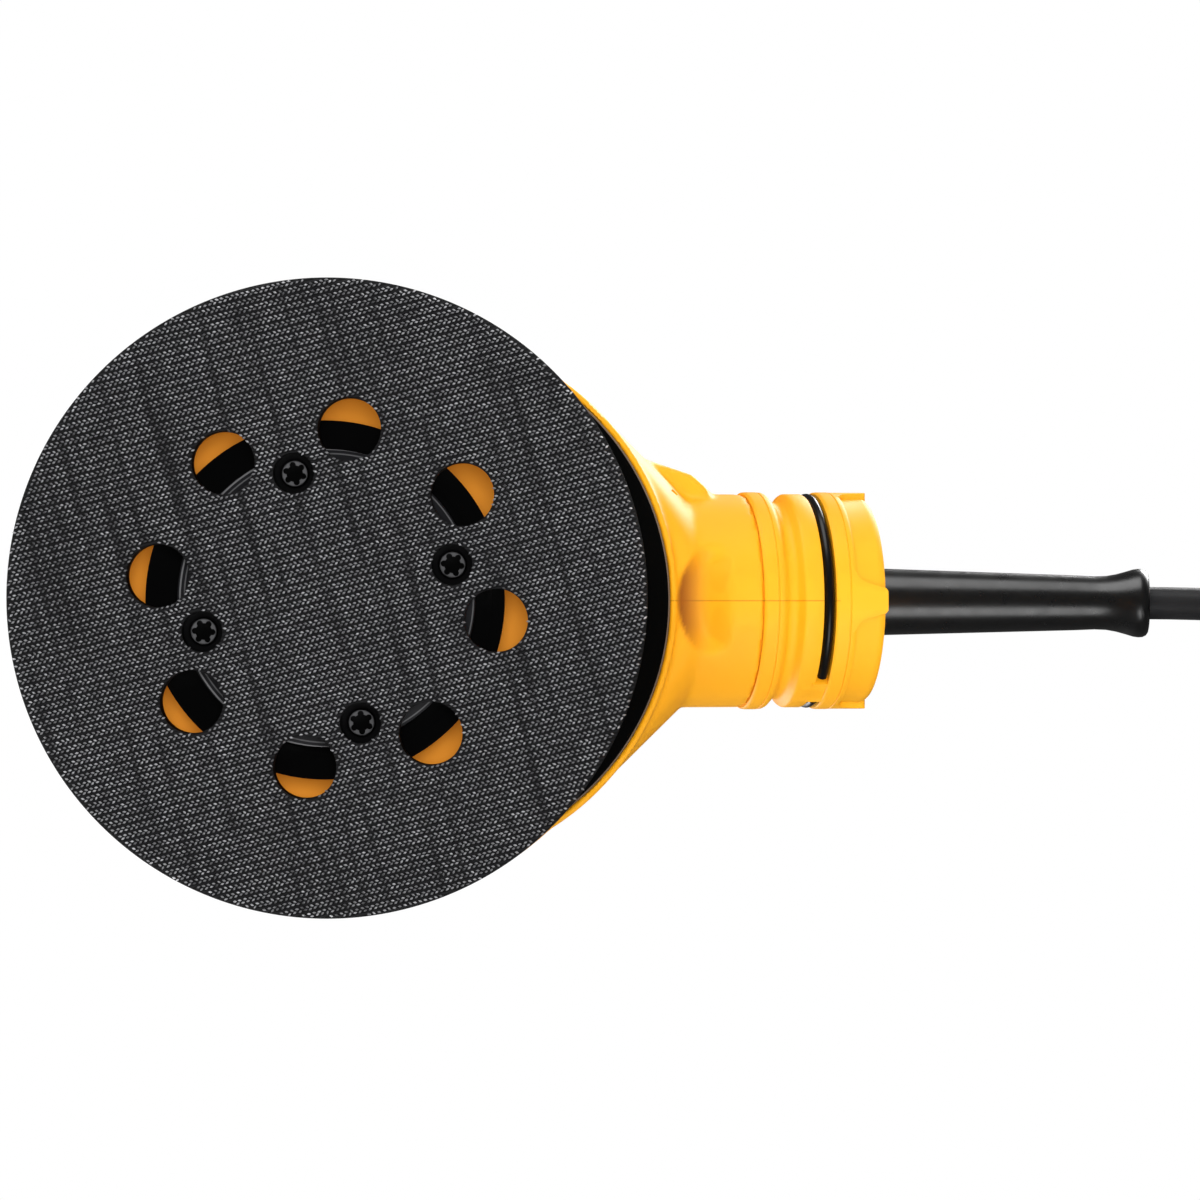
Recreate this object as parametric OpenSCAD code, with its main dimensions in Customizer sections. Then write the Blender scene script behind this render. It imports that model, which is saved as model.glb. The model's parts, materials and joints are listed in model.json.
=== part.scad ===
// Palm-grip random orbital sander, 125 mm class, with its mains cord.
// Frame: the motor axis is Z, the pad's hook face lies on Z = 0, and the cord and
// the dust port leave towards +X. Units are millimetres.

/* [Pad] */
// Diameter of the sanding pad
pad_d = 123; // [112:1:150]
// Thickness of the hook sheet
hook_t = 1.6; // [1:0.1:2.5]
// Thickness of the foam disc
foam_t = 8; // [6:0.5:12]
// Thickness of the rigid backing plate
plate_t = 3; // [2.5:0.5:5]
// Number of dust holes through the pad
dust_holes = 8; // [4:1:10]
// Diameter of each dust hole
dust_hole_d = 12.2; // [8:0.5:14]
// Pitch circle of the dust holes
dust_pcd = 65.4; // [62:1:76]
// Pitch circle of the four pad screws
screw_pcd = 49.6; // [44:0.4:52]
// Diameter of the screw wells in the foam
screw_well_d = 8.2; // [7.6:0.2:9]
// Angle at which the pad rests
pad_turn = -15; // [-180:1:180]

/* [Drive] */
// Angle at which the motor rests
orbit_turn = 25; // [-180:1:180]
// Offset of the pad's axis from the motor's, half the orbit
orbit_r = 1.2; // [0.8:0.1:2]
// Radius of the dust fan
fan_r = 34.3; // [31:0.1:38]
// Radius of the armature core
core_r = 21; // [18:0.5:23]
// Stack length of the armature core
core_len = 28; // [24:1:32]
// Radius of the commutator
comm_r = 12.5; // [10.5:0.5:14]
// Running gap between moving and fixed parts
run_gap = 0.6; // [0.4:0.1:1]

/* [Shroud and port] */
// Outer radius of the shroud at its rim
rim_r = 59.4; // [56:0.2:66]
// Outer radius of the shroud at its widest
flare_r = 60.8; // [57:0.2:68]
// Wall of the shroud
shroud_wall = 2.6; // [2:0.1:3.4]
// Outer radius of the dust port
port_r = 20.9; // [18:0.1:22]
// Bore radius of the dust port
port_bore_r = 17.8; // [14:0.1:18]
// Upward tilt of the dust port
port_tilt = 12; // [0:0.5:14]
// Length of the dust port behind the shroud
port_len = 38; // [36:0.1:46]

/* [Body] */
// Radius of the housing where it stands on the shroud
base_r = 42.2; // [40:0.2:46]
// Radius of the housing at its waist
waist_r = 39.6; // [39:0.2:43]
// Radius of the housing under the palm
head_r = 43; // [42:0.2:47]
// Wall of the housing halves
body_wall = 2.6; // [2.2:0.1:3]
// Thickness of the rubber grip
grip_t = 2.4; // [1.5:0.1:3.5]
// Height of the housing above the shroud, without the grip
body_h = 99.5; // [98:0.5:108]

/* [Cord] */
// Diameter of the cord
cord_d = 6.6; // [6:0.1:8]
// Radius of the cord sleeve where it leaves the housing
sleeve_r = 8.8; // [8:0.1:9.6]
// Radius of the cord sleeve at its narrow end
sleeve_tip_r = 5.4; // [4.8:0.1:6.4]
// Radius of the flare at the sleeve's end
sleeve_flare_r = 7; // [6.4:0.1:8]

/* [Hidden] */
$fn = 64;
eps = 0.01;
touch = 0.05;      // radial clearance of a screw in its hole
run_fit = 0.05;    // radial clearance of a pin that turns in its bore
pivot_gap = 0.3;   // side clearance of a part that turns between walls

// Heights, from the floor up
plate_z = hook_t + foam_t;
pad_top = plate_z + plate_t;
flange_t = 4;
flange_r = 30;
stub_r = 6;
stub_step_r = 8;
stub_step_t = 2;
brg_z = pad_top + flange_t + stub_step_t;
rim_z = pad_top + 2;
deck_gap = 35.4;
deck_z = rim_z + deck_gap;          // top of the shroud, foot of the housing
roof_t = 4;                         // thickness of the shroud's roof

// Bearings as [bore radius, outer radius, height]
pad_brg = [6, 14, 8];
low_brg = [5, 15, 9];
top_brg = [4, 11, 7];

// Pad hub bolt
bolt_head_r = 5.6;
bolt_head_h = 3.4;
washer_t = 1;

// Fan and eccentric
fan_hub_r = 18;
fan_z = brg_z - 0.6;
brg_top = brg_z + pad_brg[2];
bolt_room_z = brg_top + washer_t + bolt_head_h + run_gap;
fan_disc_z = bolt_room_z + 2.4;
fan_disc_t = 2;
fan_ring_z = pad_top + flange_t + 3.8;
fan_ring_t = 1.5;
fan_inlet_r = 24.5;
fan_lip_r = 30.2;
fan_neck_r = 11;
baffle_t = 1.5;
baffle_z = deck_z - roof_t - baffle_t;
fan_top = baffle_z - 0.9;
fan_neck_top = deck_z - roof_t;
vane_t = 1.6;

// Motor
shaft_r = low_brg[0];
core_bore_r = 6;
low_brg_z = deck_z;
low_brg_top = low_brg_z + low_brg[2];
wind_h = 6;
core_z = low_brg_top + 3 + wind_h;
core_top = core_z + core_len;
comm_z = core_top + wind_h + 2;
comm_h = 11;
air_gap = 0.6;
pole_r = core_r + air_gap;
yoke_r = 27;
yoke_out_r = 34;
coil_over = 5;
end_z = comm_z + comm_h + 1.4;      // underside of the end bracket
end_t = 3;
top_brg_z = end_z + end_t + 1;
top_brg_top = top_brg_z + top_brg[2];
shaft_top = top_brg_top + 1;

// Housing
body_z = deck_z;
body_top = deck_z + body_h;
waist_z = deck_z + 32;
head_z = deck_z + 74;
bracket_t = 4;
bracket_rim_r = waist_r - body_wall + 1.6;
ledge_t = 2;

// Cord line
cord_z = deck_z + 53;
boss_r = 12;
boss_x = 56.8;
sleeve_flange_r = 10.6;
sleeve_flange_t = 3;
sleeve_flange_x = base_r - 7.2;
sleeve_end_x = 163;
flare_x = 154.5;
clamp_x = 24;
lead_in_x = core_r;
clamp_len = 10;
clamp_w = 20;

// Switch
sw_z = deck_z + 73;
sw_half_h = 11.7;
sw_half_w = 9.2;
rocker_half_h = 8.2;
rocker_half_w = 6.8;
pivot_x = 36;
rocker_swing = 7;
rocker_pin_r = 1.5;

// Speed dial
dial_r = 9;
dial_w = 6;
dial_x = head_r - 7.5;
dial_z = deck_z + 77;
axle_r = 2;
ear_t = 2;

// Screws
head_h = 2.4;
pad_screw_r = 2;
pad_screw_head_r = 2.8;
case_screw_r = 1.7;
case_head_r = 3.1;
case_boss_r = 3.8;
case_screws = [[-32, deck_z + 9.5], [32, deck_z + 9.5], [-31, deck_z + 52.2],
               [-18, deck_z + 89], [18, deck_z + 89]];
case_seat_y = 9;
bracket_screw_pcd = 68;
bracket_head_r = 2.9;

// Cord route, chosen by hand: from the sleeve down on to the coil
coil_c = [223, 62];
coil_r = 38;
coil_rows = 3;
tie_t = 0.8;
coil_w = coil_rows * cord_d;
coil_z = tie_t;
route = [[163, 0, 0], [170, 0, 0], [178, 0.3, -0.4], [188, 2.6, -2.5], [198, 7.2, -6.5],
         [208, 13.2, -12.5], [218, 19.8, -20], [228, 26.4, -28.5], [237.5, 32.6, -37.5],
         [246, 38.8, -46.5], [253, 45.6, -55], [258, 53.6, -62.5], [260.7, 62.5, -68.7],
         [260.6, 72, -73.4], [257.5, 81, -76.6], [251.5, 89, -78.3], [243, 95.3, -78.9],
         [233.5, 99, -79], [223, 100.2, -79], [213, 98.8, -79], [203, 94.2, -79],
         [195, 87.2, -79], [189, 78.5, -79.2], [186, 70, -80.4]];
tail = [[178.4, 62, 0], [178.3, 54, 0], [178.5, 46, 0.4], [179.4, 38, 1.4],
        [180.8, 31, 2.8], [181.8, 25, 3.8], [182, 20, 4.1]];
cord_sides = 8;
plug_c = [182, 20];
plug_z = 8.2;

YELLOW = [0.98, 0.70, 0.10];
BLACK = [0.07, 0.07, 0.08];
GREY = [0.20, 0.20, 0.21];
STEEL = [0.70, 0.71, 0.73];
COPPER = [0.72, 0.42, 0.24];

// ---------- helpers ----------

// A plain ring standing on z
module ring(r_in, r_out, z, h) {
    translate([0, 0, z]) difference() {
        cylinder(r = r_out, h = h);
        translate([0, 0, -1]) cylinder(r = r_in, h = h + 2);
    }
}

// A cylinder along +X or +Y from its centre point
module rod_x(r, h) { rotate([0, 90, 0]) cylinder(r = r, h = h); }
module rod_y(r, h) { rotate([-90, 0, 0]) cylinder(r = r, h = h); }

// Copies its children round the Z axis
module around(n, start = 0) {
    for (i = [0 : n - 1]) rotate([0, 0, start + i * 360 / n]) children();
}

// The six-lobed driving recess of a screw head, cut downwards from z = 0
module star_recess(r, depth) {
    translate([0, 0, -depth]) {
        cylinder(r = r * 0.78, h = depth + 1, $fn = 24);
        around(6) translate([r * 0.76, 0, 0]) cylinder(r = r * 0.24, h = depth + 1, $fn = 16);
    }
}

// A screw standing on its tip, with its head's top at z = 0
module screw(r, head_r, len) {
    difference() {
        union() {
            translate([0, 0, -head_h]) cylinder(r = head_r, h = head_h);
            translate([0, 0, -head_h - len]) cylinder(r = r, h = len + 0.2);
        }
        star_recess(head_r * 0.62, 1.6);
    }
}

// Ball bearing parts, for b = [bore radius, outer radius, height] with its foot on z = 0
function brg_mid(b) = (b[0] + b[1]) / 2;
function brg_ball(b) = (b[1] - b[0]) * 0.23;
module ball_groove(b) {
    rotate_extrude() translate([brg_mid(b), b[2] / 2]) circle(r = brg_ball(b) + run_fit, $fn = 32);
}
module race(b, r_in, r_out) {
    difference() {
        ring(r_in, r_out, 0, b[2]);
        ball_groove(b);
    }
}
module race_inner(b) { race(b, b[0], brg_mid(b) - (b[1] - b[0]) * 0.16); }
module race_outer(b) { race(b, brg_mid(b) + (b[1] - b[0]) * 0.16, b[1]); }
module balls(b, n) {
    around(n) translate([brg_mid(b), 0, b[2] / 2]) sphere(r = brg_ball(b), $fn = 32);
}

// ---------- pad ----------

module off_centre() { rotate([0, 0, orbit_turn]) translate([-orbit_r, 0, 0]) children(); }
module pad_place() { off_centre() rotate([0, 0, pad_turn - orbit_turn]) children(); }
module dust_holes_cut(h) {
    around(dust_holes, 180 / dust_holes)
        translate([dust_pcd / 2, 0, -1]) cylinder(d = dust_hole_d, h = h);
}
module screw_cut(d, h) {
    around(4) translate([screw_pcd / 2, 0, -1]) cylinder(d = d, h = h);
}

module hook_face() {
    color(GREY) pad_place() difference() {
        cylinder(d = pad_d, h = hook_t, $fn = 128);
        dust_holes_cut(hook_t + 2);
        screw_cut(screw_well_d, hook_t + 2);
    }
}

module pad_foam() {
    color(BLACK) pad_place() translate([0, 0, hook_t]) difference() {
        rotate_extrude($fn = 128) polygon([[0, 0], [pad_d / 2, 0],
            [pad_d / 2, foam_t * 0.55], [pad_d / 2 - 1.4, foam_t], [0, foam_t]]);
        dust_holes_cut(foam_t + 2);
        screw_cut(screw_well_d, foam_t + 2);
    }
}

module pad_plate() {
    color(BLACK) pad_place() translate([0, 0, plate_z]) difference() {
        cylinder(r = pad_d / 2 - 1.8, h = plate_t, $fn = 128);
        dust_holes_cut(plate_t + 2);
        screw_cut(2 * (pad_screw_r + 0.2), plate_t + 2);
    }
}

module pad_hub() {
    color(STEEL) pad_place() translate([0, 0, pad_top]) difference() {
        union() {
            cylinder(r = flange_r, h = flange_t);
            cylinder(r = stub_step_r, h = flange_t + stub_step_t);
            cylinder(r = stub_r, h = flange_t + stub_step_t + pad_brg[2]);
        }
        screw_cut(2 * (pad_screw_r + touch), flange_t + 1 - 0.8);
        translate([0, 0, flange_t]) cylinder(r = 2.5 + touch, h = 20);
    }
}

module pad_screws() {
    color(BLACK) pad_place() translate([0, 0, plate_z - head_h]) around(4)
        translate([screw_pcd / 2, 0, 0]) mirror([0, 0, 1])
            screw(pad_screw_r, pad_screw_head_r, plate_t + flange_t - 1.4);
}

module hub_bolt() {
    color(STEEL) pad_place() translate([0, 0, brg_top]) difference() {
        union() {
            cylinder(r = 7.2, h = washer_t);
            translate([0, 0, washer_t]) cylinder(r = bolt_head_r, h = bolt_head_h, $fn = 6);
            translate([0, 0, -9.8]) cylinder(r = 2.5, h = 10);
        }
        translate([0, 0, washer_t + bolt_head_h]) star_recess(2.4, 1.6);
    }
}

module at_pad_bearing() { off_centre() translate([0, 0, brg_z]) children(); }
module pad_bearing_inner() { color(STEEL) at_pad_bearing() race_inner(pad_brg); }
module pad_bearing_outer() { color(STEEL) at_pad_bearing() race_outer(pad_brg); }
module pad_bearing_balls() { color(STEEL) at_pad_bearing() balls(pad_brg, 8); }

// ---------- rotor ----------

module eccentric_fan() {
    vane_gap = 30;
    color(BLACK) rotate([0, 0, orbit_turn]) difference() {
        union() {
            translate([-orbit_r, 0, fan_z]) cylinder(r = fan_hub_r, h = fan_disc_z - fan_z + 0.5);
            translate([0, 0, fan_disc_z]) cylinder(r = fan_r, h = fan_disc_t);
            translate([0, 0, fan_disc_z]) cylinder(r = fan_neck_r, h = fan_neck_top - fan_disc_z);
            ring(fan_inlet_r, fan_r, fan_ring_z, fan_ring_t);
            ring(fan_lip_r - 0.9, fan_lip_r, fan_ring_z - 0.8, 1);
            // Vanes that draw the dust, left out where the counterweight sits
            for (a = [2 * vane_gap : vane_gap : 360 - 2 * vane_gap])
                rotate([0, 0, a]) translate([fan_hub_r, -vane_t / 2, fan_ring_z + fan_ring_t - 0.2])
                    cube([fan_r - fan_hub_r - 0.6, vane_t, fan_disc_z - fan_ring_z - fan_ring_t + 0.4]);
            // Vanes that cool the motor
            around(12) translate([fan_neck_r - 0.5, -vane_t / 2, fan_disc_z + fan_disc_t - 0.2])
                cube([fan_r - fan_neck_r - 0.8, vane_t, fan_top - fan_disc_z - fan_disc_t + 0.2]);
        }
        // Seat of the pad bearing, room for the hub bolt, and the shaft's socket
        translate([-orbit_r, 0, fan_z - 1]) cylinder(r = pad_brg[1], h = brg_top - fan_z + 1);
        translate([-orbit_r, 0, brg_top - 1]) cylinder(r = 9, h = bolt_room_z - brg_top + 1);
        translate([0, 0, fan_disc_z]) cylinder(r = shaft_r, h = 30);
    }
}

module counterweight() {
    color(STEEL) rotate([0, 0, orbit_turn - 32]) translate([0, 0, fan_ring_z + fan_ring_t])
        rotate_extrude(angle = 64)
            translate([fan_hub_r + 0.6, 0])
                square([fan_r - fan_hub_r - 2.2, fan_disc_z - fan_ring_z - fan_ring_t]);
}

module fan_spacer() {
    color(STEEL) ring(shaft_r, shaft_r + 2, fan_neck_top, low_brg_z - fan_neck_top);
}

module motor_shaft() {
    comm_top = comm_z + comm_h;
    color(STEEL) {
        translate([0, 0, fan_disc_z]) cylinder(r = shaft_r, h = low_brg_top - fan_disc_z + eps);
        translate([0, 0, low_brg_top]) cylinder(r = core_bore_r, h = comm_top - low_brg_top);
        translate([0, 0, comm_top - eps]) cylinder(r = top_brg[0] + 1, h = top_brg_z - comm_top + eps);
        translate([0, 0, top_brg_z - eps]) cylinder(r = top_brg[0], h = shaft_top - top_brg_z + eps);
    }
}

module armature_core() {
    slots = 12;
    color(GREY) difference() {
        ring(core_bore_r, core_r, core_z, core_len);
        around(slots) translate([core_r - 7.5, -1.6, core_z - 1]) cube([6.2, 3.2, core_len + 2]);
        around(slots) translate([core_r - 2, -0.8, core_z - 1]) cube([4, 1.6, core_len + 2]);
    }
}

module end_turns(z) {
    translate([0, 0, z]) rotate_extrude()
        polygon([[core_bore_r, 0], [core_r - 1.4, 0], [core_r - 2.4, wind_h * 0.6],
                 [core_r - 6, wind_h], [core_bore_r, wind_h]]);
}
module armature_windings() {
    color(COPPER) {
        end_turns(core_top);
        translate([0, 0, 2 * core_z]) mirror([0, 0, 1]) end_turns(core_z);
    }
}

module commutator() {
    bars = 24;
    color(COPPER) difference() {
        union() {
            ring(core_bore_r, comm_r, comm_z, comm_h);
            ring(core_bore_r, comm_r + 1.2, comm_z, 1.6);
        }
        around(bars) translate([comm_r - 1, -0.25, comm_z - 1]) cube([4, 0.5, comm_h + 2]);
    }
}

module lower_bearing_inner() { color(STEEL) translate([0, 0, low_brg_z]) race_inner(low_brg); }
module lower_bearing_outer() { color(STEEL) translate([0, 0, low_brg_z]) race_outer(low_brg); }
module lower_bearing_balls() { color(STEEL) translate([0, 0, low_brg_z]) balls(low_brg, 8); }
module upper_bearing_inner() { color(STEEL) translate([0, 0, top_brg_z]) race_inner(top_brg); }
module upper_bearing_outer() { color(STEEL) translate([0, 0, top_brg_z]) race_outer(top_brg); }
module upper_bearing_balls() { color(STEEL) translate([0, 0, top_brg_z]) balls(top_brg, 7); }

// ---------- shroud ----------

// The rim bulges to the rear, towards the port
bulge_x = 14.1;
bulge_r = rim_r - 7.3;
port_x = 65.7;
port_z = rim_z + 23.2;
skirt_seat = 1.4;
module port_place() { translate([port_x, 0, port_z]) rotate([0, 90 - port_tilt, 0]) children(); }

// Outline of the rim, smaller by inset
module rim_shape(inset, z, h) {
    translate([0, 0, z]) linear_extrude(h) {
        circle(r = rim_r - inset, $fn = 96);
        translate([bulge_x, 0]) circle(r = bulge_r - inset, $fn = 96);
    }
}

// A body of revolution from rim radius r, through a swollen waist, to top radius r_top
module bowl(r, r_top, swell, low_z, top_z) {
    rotate_extrude($fn = 96) polygon([[0, low_z], [r, low_z], [r + swell, rim_z + 4],
        [r + swell, rim_z + 6], [r + swell - 4.6, rim_z + 17], [r_top, top_z], [0, top_z]]);
}

// The shroud's outer form, or its cavity when inset is the wall
module shroud_form(inset, low_z, top_z) {
    bowl(rim_r - inset, base_r + 0.9 - inset, flare_r - rim_r, low_z, top_z);
    translate([bulge_x, 0, 0]) bowl(bulge_r - inset, base_r - bulge_x - 1 - inset, 0, low_z, top_z);
}

// The funnel between the bulge and the port, or its cavity
module duct_form(inset, r, h) {
    hull() {
        translate([bulge_x, 0, rim_z + 3]) cylinder(r = bulge_r - 0.3 - inset, h = h, $fn = 64);
        port_place() translate([0, 0, -12]) cylinder(r = r, h = 13, $fn = 64);
    }
}

groove_u = port_len - 12.6;
groove_w = 2.4;
groove_r = port_r - 1.8;
nose_u = port_len - 6.1;
ridge_u = 13.5;
bridge_a = 60;
module port_outside() {
    rotate_extrude($fn = 96) polygon([[0, -20], [port_r, -20], [port_r, ridge_u],
        [port_r + 0.4, ridge_u + 0.4], [port_r + 0.4, ridge_u + 4.2], [port_r - 1.6, ridge_u + 5.3],
        [port_r - 1.6, ridge_u + 7.1], [port_r, ridge_u + 8.3], [port_r, groove_u],
        [groove_r, groove_u], [groove_r, groove_u + groove_w], [port_r + 0.4, groove_u + groove_w],
        [port_r + 0.4, nose_u], [port_r - 0.9, nose_u], [port_r - 0.9, port_len - 0.6],
        [port_r - 1.5, port_len], [0, port_len]]);
}

module shroud() {
    color(YELLOW) difference() {
        union() {
            shroud_form(0, rim_z, deck_z);
            duct_form(0, port_r - 0.15, 13);
            port_place() {
                port_outside();
                // Lock ribs on the nose, tapered towards the mouth
                around(4) translate([port_r - 2, 0, nose_u - 0.5]) linear_extrude(port_len - nose_u)
                    polygon([[0, -3.6], [2.4, -3.2], [2.4, 3.2], [0, 3.6]]);
                // The bridge across the groove
                rotate([0, 0, bridge_a]) translate([groove_r - 1, -3.5, groove_u - 0.5])
                    cube([port_r - groove_r + 1.2, 7, groove_w + 1]);
            }
            // Lug for the hose clip's screw
            translate([0, 0, rim_z + 18]) linear_extrude(18)
                polygon([[47, -14], [53, -31], [60, -27.7], [69.3, -24.6], [72.4, -21.8], [73, -17.5], [61, -12]]);
        }
        // Cavity, open at the rim
        shroud_form(shroud_wall, rim_z - 1, deck_z - roof_t);
        rim_shape(skirt_seat, rim_z - 1, 4);
        difference() {
            duct_form(shroud_wall, port_bore_r - 0.15, 10.5);
            translate([0, 0, deck_z - roof_t]) cylinder(r = base_r + 3, h = 40);
        }
        port_place() translate([0, 0, -14]) cylinder(r = port_bore_r, h = port_len + 20, $fn = 96);
        // The housing's seat, and the way up to the motor
        translate([0, 0, deck_z]) cylinder(r = base_r + 0.4, h = 60);
        translate([0, 0, deck_z - roof_t - 1]) cylinder(r = 30, h = roof_t + 2);
        around(4, 45) translate([bracket_screw_pcd / 2, 0, deck_z - roof_t + 0.8])
            cylinder(r = case_screw_r + touch, h = roof_t);
        translate([66.4, -20.6, rim_z + 32]) cylinder(r = 1.6, h = 10);
    }
}

module dust_skirt() {
    color(BLACK) difference() {
        rim_shape(skirt_seat, pad_top + 0.6, 3.4);
        translate([0, 0, pad_top]) cylinder(r = rim_r - 7, h = 6, $fn = 96);
    }
}

module port_snap_ring() {
    ring_r = (groove_w - 0.1) / 2;
    gap = 26;
    color(BLACK) port_place() rotate([0, 0, bridge_a + gap / 2])
        translate([0, 0, groove_u + groove_w / 2])
            rotate_extrude(angle = 360 - gap, $fn = 96)
                translate([groove_r + ring_r, 0]) circle(r = ring_r, $fn = 24);
}

module baffle_plate() {
    color(BLACK) ring(fan_neck_r + 11, fan_inlet_r + 9.2, baffle_z, baffle_t);
}

// ---------- motor ----------

module bearing_bracket() {
    hub_r = low_brg[1] + 4;
    color(STEEL) difference() {
        union() {
            translate([0, 0, deck_z]) cylinder(r = bracket_rim_r, h = bracket_t);
            translate([0, 0, deck_z - 3]) cylinder(r = hub_r, h = low_brg[2] + 4);
        }
        translate([0, 0, deck_z - 4]) cylinder(r = shaft_r + 4, h = 20);
        translate([0, 0, deck_z]) cylinder(r = low_brg[1], h = 20);
        // Air windows between the spokes
        around(4) rotate([0, 0, -26]) translate([0, 0, deck_z - 1]) rotate_extrude(angle = 52)
            translate([hub_r + 2, 0]) square([8, bracket_t + 2]);
        around(4, 45) translate([bracket_screw_pcd / 2, 0, deck_z - 1])
            cylinder(r = case_screw_r + 0.2, h = bracket_t + 2);
    }
}

module bracket_screws() {
    color(STEEL) around(4, 45) translate([bracket_screw_pcd / 2, 0, deck_z + bracket_t + head_h])
        screw(case_screw_r, bracket_head_r, bracket_t + roof_t - 1.6);
}

module field_core() {
    z = core_z - 2;
    color(GREY) difference() {
        translate([0, 0, z]) cylinder(r = yoke_out_r, h = core_len + 4);
        translate([0, 0, z - 1]) cylinder(r = pole_r, h = core_len + 6);
        // The coils' windows, one on each side
        for (s = [90, 270]) rotate([0, 0, s - 40]) translate([0, 0, z - 1])
            rotate_extrude(angle = 80) translate([pole_r - 1.5, 0]) square([yoke_r - pole_r + 1.5, core_len + 6]);
    }
}

module field_coils() {
    color(COPPER) for (s = [90, 270]) rotate([0, 0, s - 34])
        translate([0, 0, core_z - 2 - coil_over]) rotate_extrude(angle = 68)
            translate([pole_r + 0.6, 0]) square([yoke_r - pole_r - 0.8, core_len + 4 + 2 * coil_over]);
}

module end_bracket() {
    hub_r = top_brg[1] + 3;
    color(BLACK) difference() {
        union() {
            translate([-hub_r + 1, -waist_r + body_wall + 1, end_z])
                cube([2 * hub_r - 2, 2 * (waist_r - body_wall - 1), end_t]);
            translate([0, 0, end_z]) cylinder(r = hub_r, h = top_brg_top - end_z);
        }
        translate([0, 0, end_z - 1]) cylinder(r = 8, h = 20);
        translate([0, 0, top_brg_z]) cylinder(r = top_brg[1], h = 20);
    }
}

// Brushes run in square tubes on the Y axis, each pressed on the commutator by a spring
brush_w = 6;
brush_hgt = 8;
brush_len = 13;
brush_y = comm_r + 0.1;
holder_y = comm_r + 1.5;
holder_len = 19.5;
brush_zc = comm_z + 1.6 + (comm_h - 1.6) / 2;
module both_sides() { for (s = [0, 180]) rotate([0, 0, s]) children(); }

module brush_holders() {
    color("goldenrod") both_sides() difference() {
        translate([-brush_w / 2 - 1.4, holder_y, brush_zc - brush_hgt / 2 - 1.2])
            cube([brush_w + 2.8, holder_len, end_z - brush_zc + brush_hgt / 2 + 1.2]);
        translate([-brush_w / 2 - 0.1, holder_y - 1, brush_zc - brush_hgt / 2 - 0.1])
            cube([brush_w + 0.2, holder_len - 0.2, brush_hgt + 0.2]);
    }
}

module carbon_brushes() {
    color(GREY) both_sides() difference() {
        translate([-brush_w / 2, brush_y - 1, brush_zc - brush_hgt / 2])
            cube([brush_w, brush_len + 1, brush_hgt]);
        translate([0, 0, comm_z]) cylinder(r = brush_y, h = comm_h + 2);
    }
}

module brush_springs() {
    spring_len = holder_y + holder_len - 1.3 - (brush_y + brush_len);
    turns = 4;
    color(STEEL) both_sides() translate([0, brush_y + brush_len, brush_zc]) rotate([-90, 0, 0])
        linear_extrude(spring_len, twist = -360 * turns, slices = 48, $fn = 8)
            translate([2, 0]) circle(r = 0.45, $fn = 8);
}

// ---------- housing ----------

// Outer radius of the housing at height z, from its foot to the shoulder of the dome
function ease(t) = t * t * (3 - 2 * t);
function body_r(z) = z < waist_z
    ? waist_r + (base_r - waist_r) * pow((waist_z - z) / (waist_z - body_z), 2)
    : waist_r + (head_r - waist_r) * ease((z - waist_z) / (head_z - waist_z));
function dome_h() = body_top - head_z;
// Outline points grown outwards by g: the wall, then the dome
wall_steps = 14;
dome_steps = 16;
function wall_line(g) = [for (i = [0 : wall_steps])
    let (z = body_z + (head_z - body_z) * i / wall_steps) [body_r(z) + g, z]];
function dome_line(g) = [for (i = [1 : dome_steps])
    let (t = 90 * i / dome_steps)
    [(head_r + g) * pow(max(cos(t), 0), 0.62), head_z + (dome_h() + g) * pow(sin(t), 0.86)]];
function flip(p) = [for (i = [len(p) - 1 : -1 : 0]) p[i]];
function body_line(g) = concat(wall_line(g), dome_line(g));

module body_solid(g) {
    rotate_extrude($fn = 96)
        polygon(concat([[0, body_z]], body_line(g)));
}

// One half of the shell, on the +Y side
module half_shell() {
    rotate_extrude(angle = 180, $fn = 96)
        polygon(concat(body_line(0), flip(body_line(-body_wall))));
}
module half_space() { translate([-100, 0, 0]) cube([300, 100, 300]); }

// Slots through the wall at azimuth a, all of them within the height given
module vent_group(a, n, z, h, w, pitch) {
    for (i = [0 : n - 1]) rotate([0, 0, a + (i - (n - 1) / 2) * pitch])
        translate([30, -w / 2, z]) cube([20, w, h]);
}

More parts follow.
